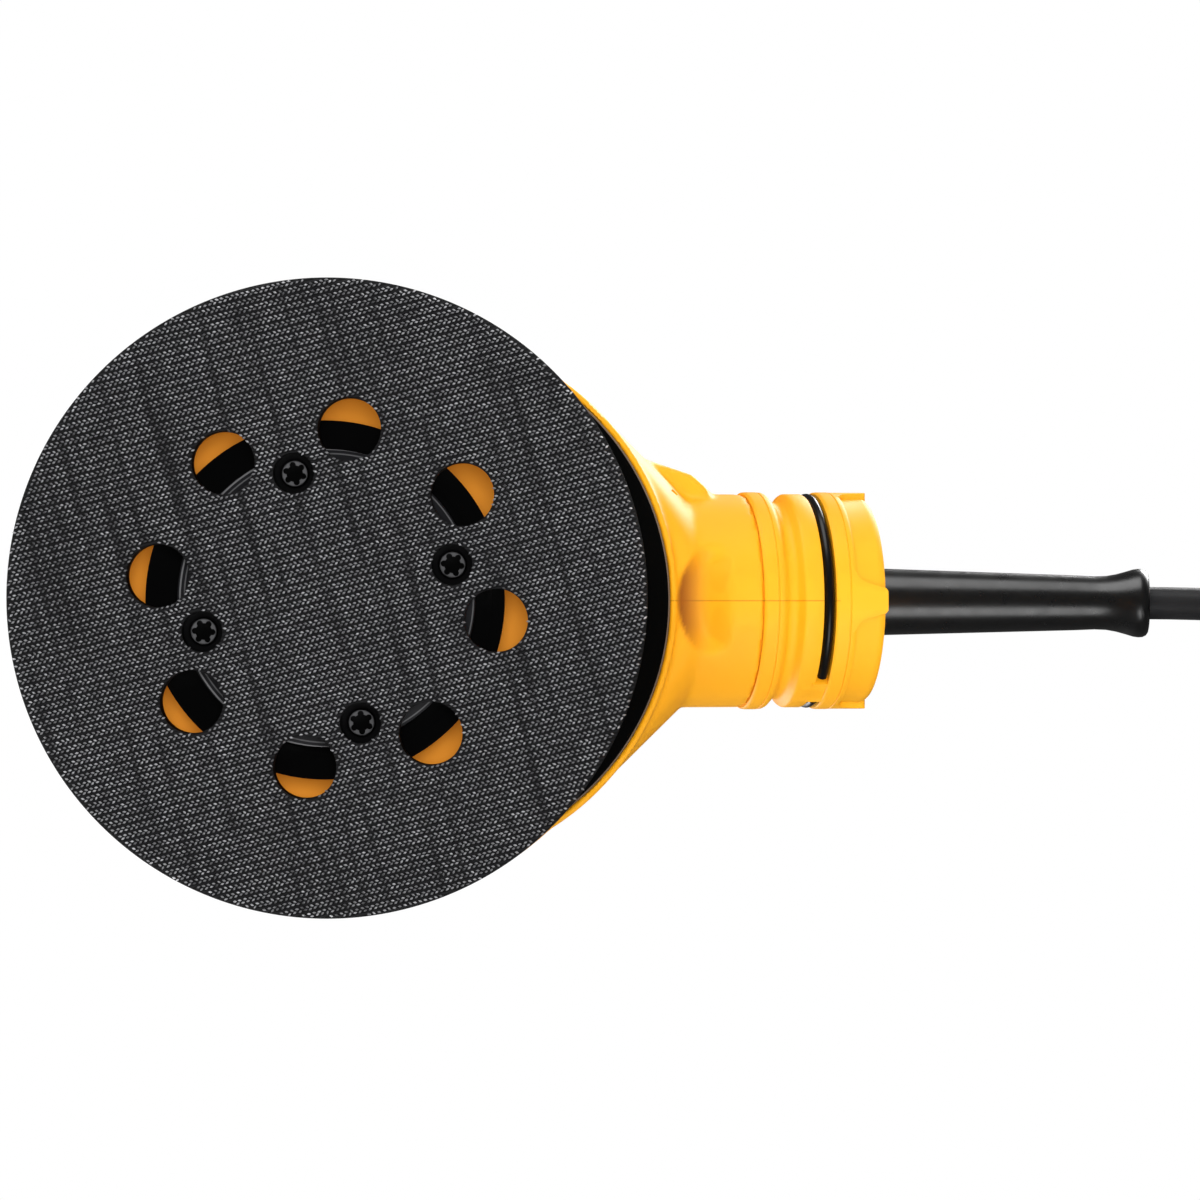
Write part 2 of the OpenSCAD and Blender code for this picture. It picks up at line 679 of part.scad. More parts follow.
// What both halves share. It is drawn on the +Y side.
module half_body() {
    difference() {
        union() {
            half_shell();
            intersection() {
                union() {
                    // The ledge that holds the bearing bracket down
                    ring(bracket_screw_pcd / 2 + bracket_head_r + 0.4, base_r - body_wall + 0.6, deck_z + bracket_t, ledge_t);
                    // Ribs that hold the field core
                    for (a = [18, 90, 162]) rotate([0, 0, a])
                        translate([yoke_out_r + touch, -1.5, core_z - 2])
                            cube([waist_r - body_wall + 0.4 - yoke_out_r, 3, core_len + 4]);
                    // The boss that the cord sleeve leaves by
                    translate([waist_r - 4.4, 0, cord_z]) rod_x(boss_r, boss_x - waist_r + 4.4);
                    // Shelf under the end bracket
                    translate([-10, waist_r - body_wall - 3, end_z - 4]) cube([20, 12, 4]);
                    // Screw bosses
                    for (p = case_screws) translate([p[0], 0, p[1]]) rod_y(case_boss_r, 60);
                }
                body_and_boss();
                half_space();
            }
        }
        // Cord sleeve
        translate([waist_r - 6, 0, cord_z]) rod_x(sleeve_r + touch, 60);
        translate([sleeve_flange_x - 0.1, 0, cord_z]) rod_x(sleeve_flange_r + 0.1, sleeve_flange_t + 0.2);
        // Switch and dial openings
        translate([-60, -sw_half_w - 0.1, sw_z - sw_half_h - 0.1])
            cube([30, 2 * sw_half_w + 0.2, 2 * sw_half_h + 0.2]);
        translate([dial_x - 2, -dial_w / 2 - 0.8, dial_z - dial_r - 0.8])
            cube([30, dial_w + 1.6, 2 * dial_r + 1.6]);
        // Air slots
        vent_group(42, 4, deck_z + 42, 15, 2.2, 7.5);
        vent_group(138, 4, deck_z + 42, 15, 2.2, 7.5);
        vent_group(90, 7, deck_z + 6.6, 6, 3, 8);
    }
}
module body_and_boss() {
    body_solid(-0.4);
    translate([0, 0, cord_z]) rod_x(boss_r, 100);
}

module label_seat(g) {
    for (s = [90, 270]) rotate([0, 0, s - 34]) rotate_extrude(angle = 68, $fn = 96)
        intersection() {
            polygon(concat(wall_line(2), flip(wall_line(-0.7 - g))));
            translate([20, deck_z + 18 - g]) square([40, 18 + 2 * g]);
        }
}

// Holes for the case screws, in the +Y half (pilot) or the -Y half (clearance and head)
module screw_ways(head) {
    for (p = case_screws) translate([p[0], 0, p[1]])
        if (head) {
            translate([0, -30, 0]) rod_y(case_screw_r + 0.2, 31);
            translate([0, -60, 0]) rod_y(case_head_r + 0.3, 60 - case_seat_y);
        } else {
            translate([0, -1, 0]) rod_y(case_screw_r + touch, 12.5);
        }
}

module housing_left() {
    color(YELLOW) difference() {
        half_body();
        label_seat(0.05);
        screw_ways(false);
    }
}
module housing_right() {
    color(YELLOW) difference() {
        mirror([0, 1, 0]) half_body();
        label_seat(0.05);
        screw_ways(true);
    }
}

module housing_screws() {
    color(STEEL) for (p = case_screws) translate([p[0], -case_seat_y - head_h, p[1]])
        rotate([90, 0, 0]) screw(case_screw_r, case_head_r, case_seat_y + 10);
}

// The rubber skin over the dome, with a lobe down each side, cut away round switch and dial
module palm_grip() {
    lobe_r = 22;
    skirt_z = deck_z + 66;
    color(BLACK) difference() {
        rotate_extrude($fn = 96) difference() {
            polygon(concat([[0, body_z]], body_line(grip_t)));
            polygon(concat([[-1, body_z - 1], [base_r, body_z - 1]], body_line(0), [[-1, body_top]]));
        }
        difference() {
            translate([-80, -80, 0]) cube([160, 160, skirt_z]);
            translate([0, -80, skirt_z]) rod_y(lobe_r, 160);
        }
        translate([-80, 0, sw_z - 1]) rod_x(17, 70);
        translate([10, 0, dial_z]) rod_x(14.5, 70);
    }
}

module side_labels() {
    color(GREY) label_face();
}
module label_face() {
    for (s = [90, 270]) rotate([0, 0, s - 33.8]) rotate_extrude(angle = 67.6, $fn = 96)
        intersection() {
            polygon(concat(wall_line(-0.1), flip(wall_line(-0.7))));
            translate([20, deck_z + 18.2]) square([40, 17.6]);
        }
}

// ---------- switch ----------

module switch_body() {
    color(BLACK) translate([-pivot_x + 4, -8, sw_z - 10]) cube([14, 16, 20]);
    color("goldenrod") for (y = [-4, 4])
        translate([-pivot_x + 17.9, y - 2.4, sw_z - 6]) cube([4, 4.8, 0.8]);
}

module switch_bezel() {
    color(BLACK) difference() {
        intersection() {
            translate([-60, -sw_half_w, sw_z - sw_half_h]) cube([60 - pivot_x + 3.6, 2 * sw_half_w, 2 * sw_half_h]);
            body_solid(0.9);
        }
        translate([-61, -rocker_half_w - pivot_gap, sw_z - sw_half_h + 2])
            cube([40, 2 * (rocker_half_w + pivot_gap), 2 * sw_half_h - 4]);
        translate([-pivot_x, -8.4, sw_z]) rod_y(rocker_pin_r + run_fit, 16.8);
    }
}

// A paddle with a shallow V face; it rests in the off position
module switch_rocker() {
    face_x = body_r(sw_z) - pivot_x + 2.6;
    color(BLACK) translate([-pivot_x, 0, sw_z]) rotate([0, -rocker_swing, 0]) {
        difference() {
            translate([0, rocker_half_w, 0]) rotate([90, 0, 0]) linear_extrude(2 * rocker_half_w)
                polygon([[0.6, -rocker_half_h], [0.6, rocker_half_h], [-face_x, rocker_half_h],
                         [-face_x + 1.3, 0], [-face_x, -rocker_half_h]]);
            // Generic on and off marks
            translate([-face_x - 1, -0.5, -6.4]) cube([2.1, 1, 3.6]);
            translate([-face_x - 1, 0, 4.6]) rotate([0, 90, 0]) ring(1.2, 2, 0, 2.1);
        }
        translate([0, -8.2, 0]) rod_y(rocker_pin_r, 16.4);
    }
}

// ---------- speed control ----------

module speed_module() {
    ear_y = dial_w / 2 + pivot_gap;
    color(GREY) difference() {
        union() {
            translate([16.2, -11, dial_z - 6]) cube([9, 22, 14]);
            for (s = [-1, 1]) translate([25, s > 0 ? ear_y : -ear_y - ear_t, dial_z - 3.6])
                cube([dial_x - 25 + 3.4, ear_t, 7.2]);
        }
        translate([dial_x, -20, dial_z]) rod_y(axle_r, 40);
    }
}

module dial_axle() {
    half = dial_w / 2 + pivot_gap + ear_t + 0.4;
    color(STEEL) translate([dial_x, -half, dial_z]) rod_y(axle_r, 2 * half);
}

module speed_dial() {
    grips = 24;
    color(BLACK) translate([dial_x, -dial_w / 2, dial_z]) difference() {
        rod_y(dial_r, dial_w);
        translate([0, -1, 0]) rod_y(axle_r + run_fit, dial_w + 2);
        for (i = [0 : grips - 1]) rotate([0, i * 360 / grips, 0])
            translate([dial_r + 0.25, -1, 0]) rod_y(0.7, dial_w + 2);
    }
}

// ---------- cord entry ----------

module cord_sleeve() {
    taper = (sleeve_r - sleeve_tip_r) / (flare_x - boss_x);
    color(BLACK) translate([0, 0, cord_z]) rotate([0, 90, 0]) rotate_extrude()
        polygon([[cord_d / 2 + 0.05, sleeve_flange_x], [sleeve_flange_r, sleeve_flange_x],
                 [sleeve_flange_r, sleeve_flange_x + sleeve_flange_t],
                 [sleeve_r, sleeve_flange_x + sleeve_flange_t], [sleeve_r, boss_x],
                 [sleeve_r - taper * 20, boss_x + 20], [sleeve_tip_r, flare_x],
                 [sleeve_tip_r + 0.5, flare_x + 2], [sleeve_flare_r - 0.2, flare_x + 5.4],
                 [sleeve_flare_r, flare_x + 6.4], [sleeve_flare_r - 0.5, flare_x + 7.4],
                 [sleeve_flare_r - 1.4, sleeve_end_x], [cord_d / 2 + 0.05, sleeve_end_x]]);
}

module cord_lead() {
    color(BLACK) translate([lead_in_x, 0, cord_z]) rod_x(cord_d / 2, sleeve_end_x - lead_in_x);
}

module cord_clamp() {
    color(GREY) translate([clamp_x, 0, cord_z]) difference() {
        translate([0, -clamp_w / 2, -4.4]) cube([clamp_len, clamp_w, 8.8]);
        translate([-1, 0, 0]) rod_x(cord_d / 2, clamp_len + 2);
        for (y = [-7, 7]) translate([clamp_len / 2, y, -6]) cylinder(r = 1.4 + touch, h = 20);
    }
}

module clamp_screws() {
    color(STEEL) for (y = [-7, 7]) translate([clamp_x + clamp_len / 2, y, cord_z + 4.4 + head_h])
        screw(1.4, 2.6, 8.4);
}

// The two insulated wires from the cord's end to the switch
module lead_wires() {
    z0 = cord_z;
    back_x = -pivot_x + 19.8;
    for (side = [-1, 1]) color(side > 0 ? "saddlebrown" : "steelblue")
        tube(smooth([[lead_in_x, side * 1.6, z0], [20, side * 8, z0 + 3], [18, side * 16.5, z0 + 10],
            [16.5, side * 20, z0 + 19], [5, side * 20.5, z0 + 28], [-8, side * 13, z0 + 31],
            [back_x, side * 5, z0 + 26], [back_x, side * 4, z0 + 20], [back_x, side * 4, sw_z - 5.1]], 4), 1.1);
}

// ---------- free cord ----------

// A smooth line through the route's points, with steps pieces between each two
function bend_point(p, i, t) = let (a = p[max(i - 1, 0)], b = p[i], c = p[i + 1],
    d = p[min(i + 2, len(p) - 1)])
    0.5 * ((2 * b) + (c - a) * t + (2 * a - 5 * b + 4 * c - d) * t * t
    + (3 * b - a - 3 * c + d) * t * t * t);
function smooth(p, steps) = concat([for (i = [0 : len(p) - 2], k = [0 : steps - 1])
    bend_point(p, i, k / steps)], [p[len(p) - 1]]);
function raised(p, z) = [for (q = p) [q[0], q[1], q[2] + z]];
function unit(v) = v / norm(v);

module tube(line, r) {
    n = len(line);
    rings = [for (i = [0 : n - 1])
        let (t = unit(line[min(i + 1, n - 1)] - line[max(i - 1, 0)]),
             s = unit(cross(t, [0, 0, 1])), u = cross(s, t))
        for (k = [0 : cord_sides - 1]) let (a = 360 * k / cord_sides)
            line[i] + r * (cos(a) * s + sin(a) * u)];
    sides = [for (i = [0 : n - 2], k = [0 : cord_sides - 1])
        let (a = i * cord_sides + k, b = i * cord_sides + (k + 1) % cord_sides)
        [b, a, a + cord_sides, b + cord_sides]];
    first = [for (k = [0 : cord_sides - 1]) k];
    last = [for (k = [cord_sides - 1 : -1 : 0]) (n - 1) * cord_sides + k];
    polyhedron(rings, concat([first, last], sides), convexity = 10);
}

module cord() { color(BLACK) tube(smooth(raised(route, cord_z), 3), cord_d / 2); }
module cord_tail() { color(BLACK) tube(smooth(raised(tail, coil_z + cord_d / 2), 2), cord_d / 2); }

module coil_solid(grow) {
    translate([coil_c[0], coil_c[1], coil_z]) rotate_extrude($fn = 96)
        translate([coil_r - coil_w / 2 - grow, -grow]) square([coil_w + 2 * grow, coil_w + 2 * grow]);
}
module cord_coil() { color(BLACK) coil_solid(0); }

module cord_tie() {
    color(GREY) difference() {
        intersection() {
            coil_solid(tie_t);
            translate([coil_c[0], coil_c[1] - 6, 0]) cube([60, 12, 60]);
        }
        coil_solid(0);
    }
}

module plug_body() {
    color(BLACK) translate([plug_c[0], plug_c[1], plug_z]) rotate([90, 0, 0]) {
        cylinder(r1 = cord_d / 2 + 1, r2 = cord_d / 2 + 2.6, h = 14, $fn = 32);
        translate([0, 0, 13]) hull() {
            cylinder(r = cord_d / 2 + 2.4, h = 1, $fn = 32);
            for (x = [-6, 6]) translate([x, 0, 9]) cylinder(r = 7.4, h = 12, $fn = 32);
            for (x = [-6, 6]) translate([x, 0, 21]) cylinder(r = 6.6, h = 1, $fn = 32);
        }
    }
}

module plug_blades() {
    color("gold") for (x = [-6.35, 6.35]) translate([plug_c[0] + x, plug_c[1] - 35, plug_z])
        rotate([90, 0, 0]) difference() {
            translate([-0.75, -3.2, 0]) cube([1.5, 6.4, 17.5]);
            translate([-2, 0, 12.5]) rod_x(1.5, 4);
        }
}

// ---------- assembly ----------

hook_face();
pad_foam();
pad_plate();
pad_hub();
pad_screws();
hub_bolt();
pad_bearing_inner();
pad_bearing_outer();
pad_bearing_balls();
eccentric_fan();
counterweight();
fan_spacer();
motor_shaft();
armature_core();
armature_windings();
commutator();
lower_bearing_inner();
lower_bearing_outer();
lower_bearing_balls();
upper_bearing_inner();
upper_bearing_outer();
upper_bearing_balls();
shroud();
dust_skirt();
port_snap_ring();
baffle_plate();
bearing_bracket();
bracket_screws();
field_core();
field_coils();
end_bracket();
brush_holders();
carbon_brushes();
brush_springs();
housing_left();
housing_right();
housing_screws();
palm_grip();
side_labels();
switch_body();
switch_bezel();
switch_rocker();
speed_module();
speed_dial();
dial_axle();
cord_sleeve();
cord_lead();
cord_clamp();
clamp_screws();
lead_wires();
cord();
cord_tail();
cord_coil();
cord_tie();
plug_body();
plug_blades();
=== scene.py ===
import json
import math

import bpy
import numpy as np
from mathutils import Matrix, Vector


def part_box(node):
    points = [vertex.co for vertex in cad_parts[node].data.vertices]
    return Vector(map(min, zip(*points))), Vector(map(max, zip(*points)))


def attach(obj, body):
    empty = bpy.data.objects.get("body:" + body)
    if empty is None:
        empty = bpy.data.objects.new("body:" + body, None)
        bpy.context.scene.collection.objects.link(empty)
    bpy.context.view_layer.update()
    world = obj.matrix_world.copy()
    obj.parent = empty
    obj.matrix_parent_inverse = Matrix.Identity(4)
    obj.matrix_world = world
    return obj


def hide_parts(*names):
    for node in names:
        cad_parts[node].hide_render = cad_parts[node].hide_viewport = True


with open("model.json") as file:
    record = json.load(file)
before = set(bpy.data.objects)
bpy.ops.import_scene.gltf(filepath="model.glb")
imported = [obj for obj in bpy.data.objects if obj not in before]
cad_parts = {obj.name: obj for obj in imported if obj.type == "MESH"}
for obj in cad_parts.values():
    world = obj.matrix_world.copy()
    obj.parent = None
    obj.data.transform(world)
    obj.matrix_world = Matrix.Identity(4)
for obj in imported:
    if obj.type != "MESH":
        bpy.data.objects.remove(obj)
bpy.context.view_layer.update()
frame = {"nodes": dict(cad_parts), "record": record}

MM = 0.001
scene = bpy.context.scene

EYE = (51.25 * MM, -0.14 * MM, -1.6)    # straight below the tool, 1.6 m down
EYE_LENS = 250.6                        # a long lens, so that the view is nearly flat
FLOOR_SIZE = 3.0
LAMPS_AIM = (0.05, 0, 0.04)
WHITE = (1, 1, 1, 1)
WAVE_PITCH = 0.31416                    # a wave texture of this scale has one band per unit


# ---------- camera, floor and light ----------

def studio():
    """The view from straight below, a pale one-sided floor, and soft lights above and below it."""
    lens = bpy.data.cameras.new("camera")
    lens.lens = EYE_LENS
    lens.sensor_width = 36
    lens.clip_end = 20
    eye = bpy.data.objects.new("camera", lens)
    eye.location = EYE
    eye.rotation_euler = (math.pi, 0, 0)
    scene.collection.objects.link(eye)
    scene.camera = eye

    sky = bpy.data.worlds.new("white_room")
    scene.world = sky
    sky.use_nodes = True
    tree = sky.node_tree
    tree.nodes.clear()
    # The room is white behind the object, softer as a light, and dim in what the plastics mirror
    path = add(tree, "ShaderNodeLightPath")
    seen = add(tree, "ShaderNodeBackground", {"Color": WHITE, "Strength": 1.0})
    felt = add(tree, "ShaderNodeBackground", {"Color": WHITE, "Strength": 0.24})
    mirrored = add(tree, "ShaderNodeBackground", {"Color": WHITE, "Strength": 0.07})
    lit = add(tree, "ShaderNodeMixShader", {
        "Fac": path.outputs["Is Glossy Ray"], 1: felt.outputs[0], 2: mirrored.outputs[0]})
    both = add(tree, "ShaderNodeMixShader", {
        "Fac": path.outputs["Is Camera Ray"], 1: lit.outputs[0], 2: seen.outputs[0]})
    add(tree, "ShaderNodeOutputWorld", {"Surface": both.outputs[0]})
    scene.view_settings.view_transform = "Standard"

    bpy.ops.object.select_all(action="DESELECT")
    bpy.ops.mesh.primitive_plane_add(size=FLOOR_SIZE, location=(0.1, 0, 0))
    floor = named("floor")
    floor.data.materials.append(pale_board())
    # Lamps below reach the tool through the board, and glossy pieces do not mirror it
    floor.visible_shadow = False
    floor.visible_glossy = False

    def lamp(name, place, size, power, mirrored=True):
        light = bpy.data.lights.new(name, "AREA")
        light.size = size
        light.energy = power
        holder = bpy.data.objects.new(name, light)
        holder.location = place
        holder.rotation_euler = (Vector(LAMPS_AIM) - Vector(place)).to_track_quat("-Z", "Y").to_euler()
        holder.visible_glossy = mirrored
        scene.collection.objects.link(holder)

    lamp("key_below", (-0.15, -1.35, -0.30), 1.1, 9)
    lamp("fill_below", (0.40, 0.84, -1.10), 0.8, 5)
    lamp("front_below", (0.055, -0.07, -1.70), 0.25, 14, mirrored=False)
    lamp("key_above", (0.75, -0.75, 1.20), 0.8, 24)
    lamp("fill_above", (-0.75, 0.70, 0.90), 0.9, 13)


# ---------- small tools of the bench ----------

def only(piece):
    """Makes piece the one selected and active object."""
    bpy.ops.object.select_all(action="DESELECT")
    piece.select_set(True)
    bpy.context.view_layer.objects.active = piece


def named(name):
    """Names the object just made and puts its place and turn into its mesh."""
    piece = bpy.context.object
    piece.name = piece.data.name = name
    bpy.ops.object.transform_apply(location=True, rotation=True, scale=True)
    return piece


def placed(piece, matrix):
    """Moves a finished mesh by a matrix, with the object left at the origin."""
    piece.data.transform(matrix)
    piece.data.update()
    return piece


def rod(name, radius, z0, z1, at=(0, 0), sides=64):
    """An upright round bar from z0 to z1."""
    bpy.ops.object.select_all(action="DESELECT")
    bpy.ops.mesh.primitive_cylinder_add(
        vertices=sides, radius=radius * MM, depth=(z1 - z0) * MM,
        location=(at[0] * MM, at[1] * MM, (z0 + z1) / 2 * MM))
    return named(name)


def block(name, low, high):
    """A box between two corners."""
    bpy.ops.object.select_all(action="DESELECT")
    middle = [(a + b) / 2 * MM for a, b in zip(low, high)]
    bpy.ops.mesh.primitive_cube_add(size=1, location=middle, scale=[(b - a) * MM for a, b in zip(low, high)])
    return named(name)


def modify(piece, kind, **settings):
    """Adds a modifier, applies it, and leaves the mesh as it came out."""
    only(piece)
    step = piece.modifiers.new(kind.lower(), kind)
    for key, value in settings.items():
        setattr(step, key, value)
    bpy.ops.object.modifier_apply(modifier=step.name)
    return piece


def carve(piece, cutter, operation="DIFFERENCE"):
    """Cuts the cutter out of piece, or welds it on, and throws the cutter away."""
    modify(piece, "BOOLEAN", operation=operation, solver="EXACT", object=cutter)
    bpy.data.objects.remove(cutter)
    return piece


def joined(pieces, name):
    """Several meshes made one."""
    only(pieces[0])
    for other in pieces[1:]:
        other.select_set(True)
    bpy.ops.object.join()
    pieces[0].name = pieces[0].data.name = name
    return pieces[0]


def smooth(piece, angle=32):
    """Smooth shading, with edges sharper than the angle kept."""
    only(piece)
    bpy.ops.object.shade_smooth_by_angle(angle=math.radians(angle))
    return piece


def soften(piece, width, segments=2, angle=32):
    """Rounds every edge sharper than the angle, then shades it smooth."""
    modify(piece, "BEVEL", width=width * MM, segments=segments, limit_method="ANGLE",
           angle_limit=math.radians(angle), harden_normals=False, use_clamp_overlap=True)
    return smooth(piece, angle + 8)


def spun(name, outline, turn=360, steps=128):
    """A closed outline of (radius, height) points, spun round the Z axis."""
    bpy.ops.object.select_all(action="DESELECT")
    bpy.ops.mesh.primitive_circle_add(vertices=len(outline), radius=1)
    piece = bpy.context.object
    for vertex, (r, h) in zip(piece.data.vertices, outline):
        vertex.co = (r * MM, 0, h * MM)
    bpy.ops.object.mode_set(mode="EDIT")
    bpy.ops.mesh.select_all(action="SELECT")
    if turn < 360:
        bpy.ops.mesh.edge_face_add()
    bpy.ops.mesh.spin(steps=steps, angle=math.radians(turn), center=(0, 0, 0), axis=(0, 0, 1))
    bpy.ops.mesh.select_all(action="SELECT")
    bpy.ops.mesh.remove_doubles(threshold=0.002 * MM)
    bpy.ops.mesh.normals_make_consistent(inside=False)
    bpy.ops.object.mode_set(mode="OBJECT")
    return named(name)


def plate(name, outline, x0, x1):
    """A flat outline of (height, width) points pulled out along X from x0 to x1."""
    bpy.ops.object.select_all(action="DESELECT")
    bpy.ops.mesh.primitive_circle_add(vertices=len(outline), radius=1)
    piece = bpy.context.object
    for vertex, (h, w) in zip(piece.data.vertices, outline):
        vertex.co = (x0 * MM, w * MM, h * MM)
    bpy.ops.object.mode_set(mode="EDIT")
    bpy.ops.mesh.select_all(action="SELECT")
    bpy.ops.mesh.edge_face_add()
    bpy.ops.mesh.extrude_region_move(TRANSFORM_OT_translate={"value": ((x1 - x0) * MM, 0, 0)})
    bpy.ops.mesh.select_all(action="SELECT")
    bpy.ops.mesh.normals_make_consistent(inside=False)
    bpy.ops.object.mode_set(mode="OBJECT")
    return named(name)


def copy_of(node, name):
    """A new piece with a CAD node's shape, its loose triangles merged into whole faces."""
    piece = bpy.data.objects.new(name, frame["nodes"][node].data.copy())
    scene.collection.objects.link(piece)
    only(piece)
    bpy.ops.mesh.customdata_custom_splitnormals_clear()
    bpy.ops.object.mode_set(mode="EDIT")
    bpy.ops.mesh.select_all(action="SELECT")
    bpy.ops.mesh.remove_doubles(threshold=0.004 * MM)
    bpy.ops.mesh.dissolve_limited(angle_limit=math.radians(0.3))
    bpy.ops.object.mode_set(mode="OBJECT")
    return piece


def put(piece, body, finish, slot, *nodes):
    """Hands a finished piece over: its body, finish, and the CAD nodes it stands for; the record slot is not
    used.
    """
    piece.data.materials.clear()
    piece.data.materials.append(finish)
    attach(piece, body)
    if nodes:
        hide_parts(*nodes)
    return piece


# ---------- finishes ----------

def linear(code):
    """An sRGB hex colour as linear red, green, blue and alpha."""
    parts = [int(code[i:i + 2], 16) / 255 for i in (1, 3, 5)]
    return [c / 12.92 if c <= 0.04045 else ((c + 0.055) / 1.055) ** 2.4 for c in parts] + [1]


def add(tree, kind, sockets=None, **settings):
    """Adds a node with its settings, then links or sets the sockets given."""
    made = tree.nodes.new(kind)
    for key, value in settings.items():
        setattr(made, key, value)
    for key, value in (sockets or {}).items():
        if isinstance(value, bpy.types.NodeSocket):
            tree.links.new(value, made.inputs[key])
        else:
            made.inputs[key].default_value = value
    return made


def blend(tree, factor, first, second):
    """The colour between two, by a factor from 0 for the first to 1 for the second."""
    mixed = add(tree, "ShaderNodeMix", {"Factor": factor, "A": first, "B": second}, data_type="RGBA")
    return mixed.outputs["Result"]


def maths(tree, operation, *values):
    """One sum on numbers or sockets."""
    return add(tree, "ShaderNodeMath", dict(enumerate(values)), operation=operation).outputs[0]


def bare(name, **fixed):
    """A material with its shader, its output and its place in millimetres."""
    material = bpy.data.materials.new(name)
    material.use_nodes = True
    tree = material.node_tree
    tree.nodes.clear()
    shader = add(tree, "ShaderNodeBsdfPrincipled", {k.replace("_", " "): v for k, v in fixed.items()})
    add(tree, "ShaderNodeOutputMaterial", {"Surface": shader.outputs[0]})
    place = add(tree, "ShaderNodeTexCoord")
    size = add(tree, "ShaderNodeMapping", {"Vector": place.outputs["Object"], "Scale": (1000, 1000, 1000)})
    return material, tree, shader, size.outputs[0]


def opened(material):
    """A made finish's tree, shader, place in millimetres and colour so far, to add to."""
    tree = material.node_tree
    shader = next(n for n in tree.nodes if n.type == "BSDF_PRINCIPLED")
    place = next(n for n in tree.nodes if n.type == "MAPPING").outputs[0]
    return tree, shader, place, shader.inputs["Base Color"].links[0].from_socket


def finished(tree, shader, colour, gloss=None, bumps=None):
    """Links a finish's colour, roughness and bumps to its shader."""
    tree.links.new(colour, shader.inputs["Base Color"])
    if gloss:
        tree.links.new(gloss.outputs[0], shader.inputs["Roughness"])
    if bumps:
        tree.links.new(bumps.outputs[0], shader.inputs["Normal"])


def from_axis(tree, place, centre=(0, 0)):
    """Distance from an upright axis, in millimetres."""
    flat = add(tree, "ShaderNodeVectorMath", {0: place, 1: (1, 1, 0)}, operation="MULTIPLY")
    span = add(tree, "ShaderNodeVectorMath", {0: flat.outputs[0], 1: (*centre, 0)}, operation="DISTANCE")
    return span.outputs["Value"]


def moulded(name, light, dark, rough, grain, depth, patch=18, swing=0.08, **fixed):
    """Moulded plastic or rubber: two close tones in soft patches, and the fine grain of the mould."""
    material, tree, shader, place = bare(name, **fixed)
    patches = add(tree, "ShaderNodeTexNoise", {"Vector": place, "Scale": 1 / patch, "Detail": 3.0})
    specks = add(tree, "ShaderNodeTexNoise", {"Vector": place, "Scale": 1 / grain, "Detail": 2.0})
    gloss = add(tree, "ShaderNodeMapRange", {
        "Value": specks.outputs[0], "To Min": rough - swing, "To Max": rough + swing})
    bumps = add(tree, "ShaderNodeBump", {
        "Height": specks.outputs[0], "Strength": 1.0, "Distance": depth * MM})
    finished(tree, shader, blend(tree, patches.outputs[0], linear(light), linear(dark)), gloss, bumps)
    return material


def pale_board():
    """A matt pale board that light and sight pass through from below."""
    material, tree, shader, place = bare("pale_board", Roughness=0.9)
    tint = add(tree, "ShaderNodeTexNoise", {"Vector": place, "Scale": 0.004, "Detail": 1.0})
    finished(tree, shader, blend(tree, tint.outputs[0], linear("#F4F4F2"), linear("#ECECEA")))
    side = add(tree, "ShaderNodeNewGeometry")
    clear = add(tree, "ShaderNodeBsdfTransparent")
    either = add(tree, "ShaderNodeMixShader", {
        "Fac": side.outputs["Backfacing"], 1: shader.outputs[0], 2: clear.outputs[0]})
    output = next(n for n in tree.nodes if n.type == "OUTPUT_MATERIAL")
    tree.links.new(either.outputs[0], output.inputs["Surface"])
    return material


def yellow_abs(name="yellow_abs_moulded"):
    """ABS, moulded: warm yellow with a satin skin that is a little glossier in patches."""
    return moulded(name, "#FAB31A", "#F4AA15", 0.5, 0.35, 0.005, patch=30, swing=0.05, IOR=1.42)


def shroud_abs(name):
    """The yellow ABS where it is a thin shroud: a fine parting line, painted light inside (a deeper orange
    and a faint glow), and painted shade, brown, in the hollow.
    """
    material = yellow_abs(name)
    tree, shader, place, tone = opened(material)
    axes = add(tree, "ShaderNodeSeparateXYZ", {"Vector": place})
    # The mould's parting line, a fine dark scribe down the middle to just past the snap ring
    off = maths(tree, "ABSOLUTE", axes.outputs["Y"], 0.0)
    near = maths(tree, "LESS_THAN", off, 0.13)
    short = maths(tree, "LESS_THAN", axes.outputs["X"], 98.0)
    faint = maths(tree, "MULTIPLY", maths(tree, "MULTIPLY", near, short), 0.45)
    scribed = blend(tree, faint, tone, linear("#8A5200"))
    # Painted light: a deeper orange inside the shroud for the light bounced about in it; painted shade:
    # brown in the hollow
    beside = maths(tree, "LESS_THAN", from_axis(tree, place), 47.0)
    under = maths(tree, "LESS_THAN", axes.outputs["Z"], 48.5)
    inside_painted_light = maths(tree, "MULTIPLY", beside, under)
    warm = blend(tree, inside_painted_light, scribed, linear("#FFA93C"))
    # Painted shade: brown wherever the shell's attribute marks the hollow's steep wall
    hollow = add(tree, "ShaderNodeAttribute", attribute_name="hollow_painted_shade")
    finished(tree, shader, blend(tree, hollow.outputs["Fac"], warm, linear("#96541A")))
    # Painted light: a faint orange glow emitted inside the shroud to brighten it, though it is no lamp
    shader.inputs["Emission Color"].default_value = linear("#FF9A30")
    tree.links.new(maths(tree, "MULTIPLY", inside_painted_light, 0.2), shader.inputs["Emission Strength"])
    return material


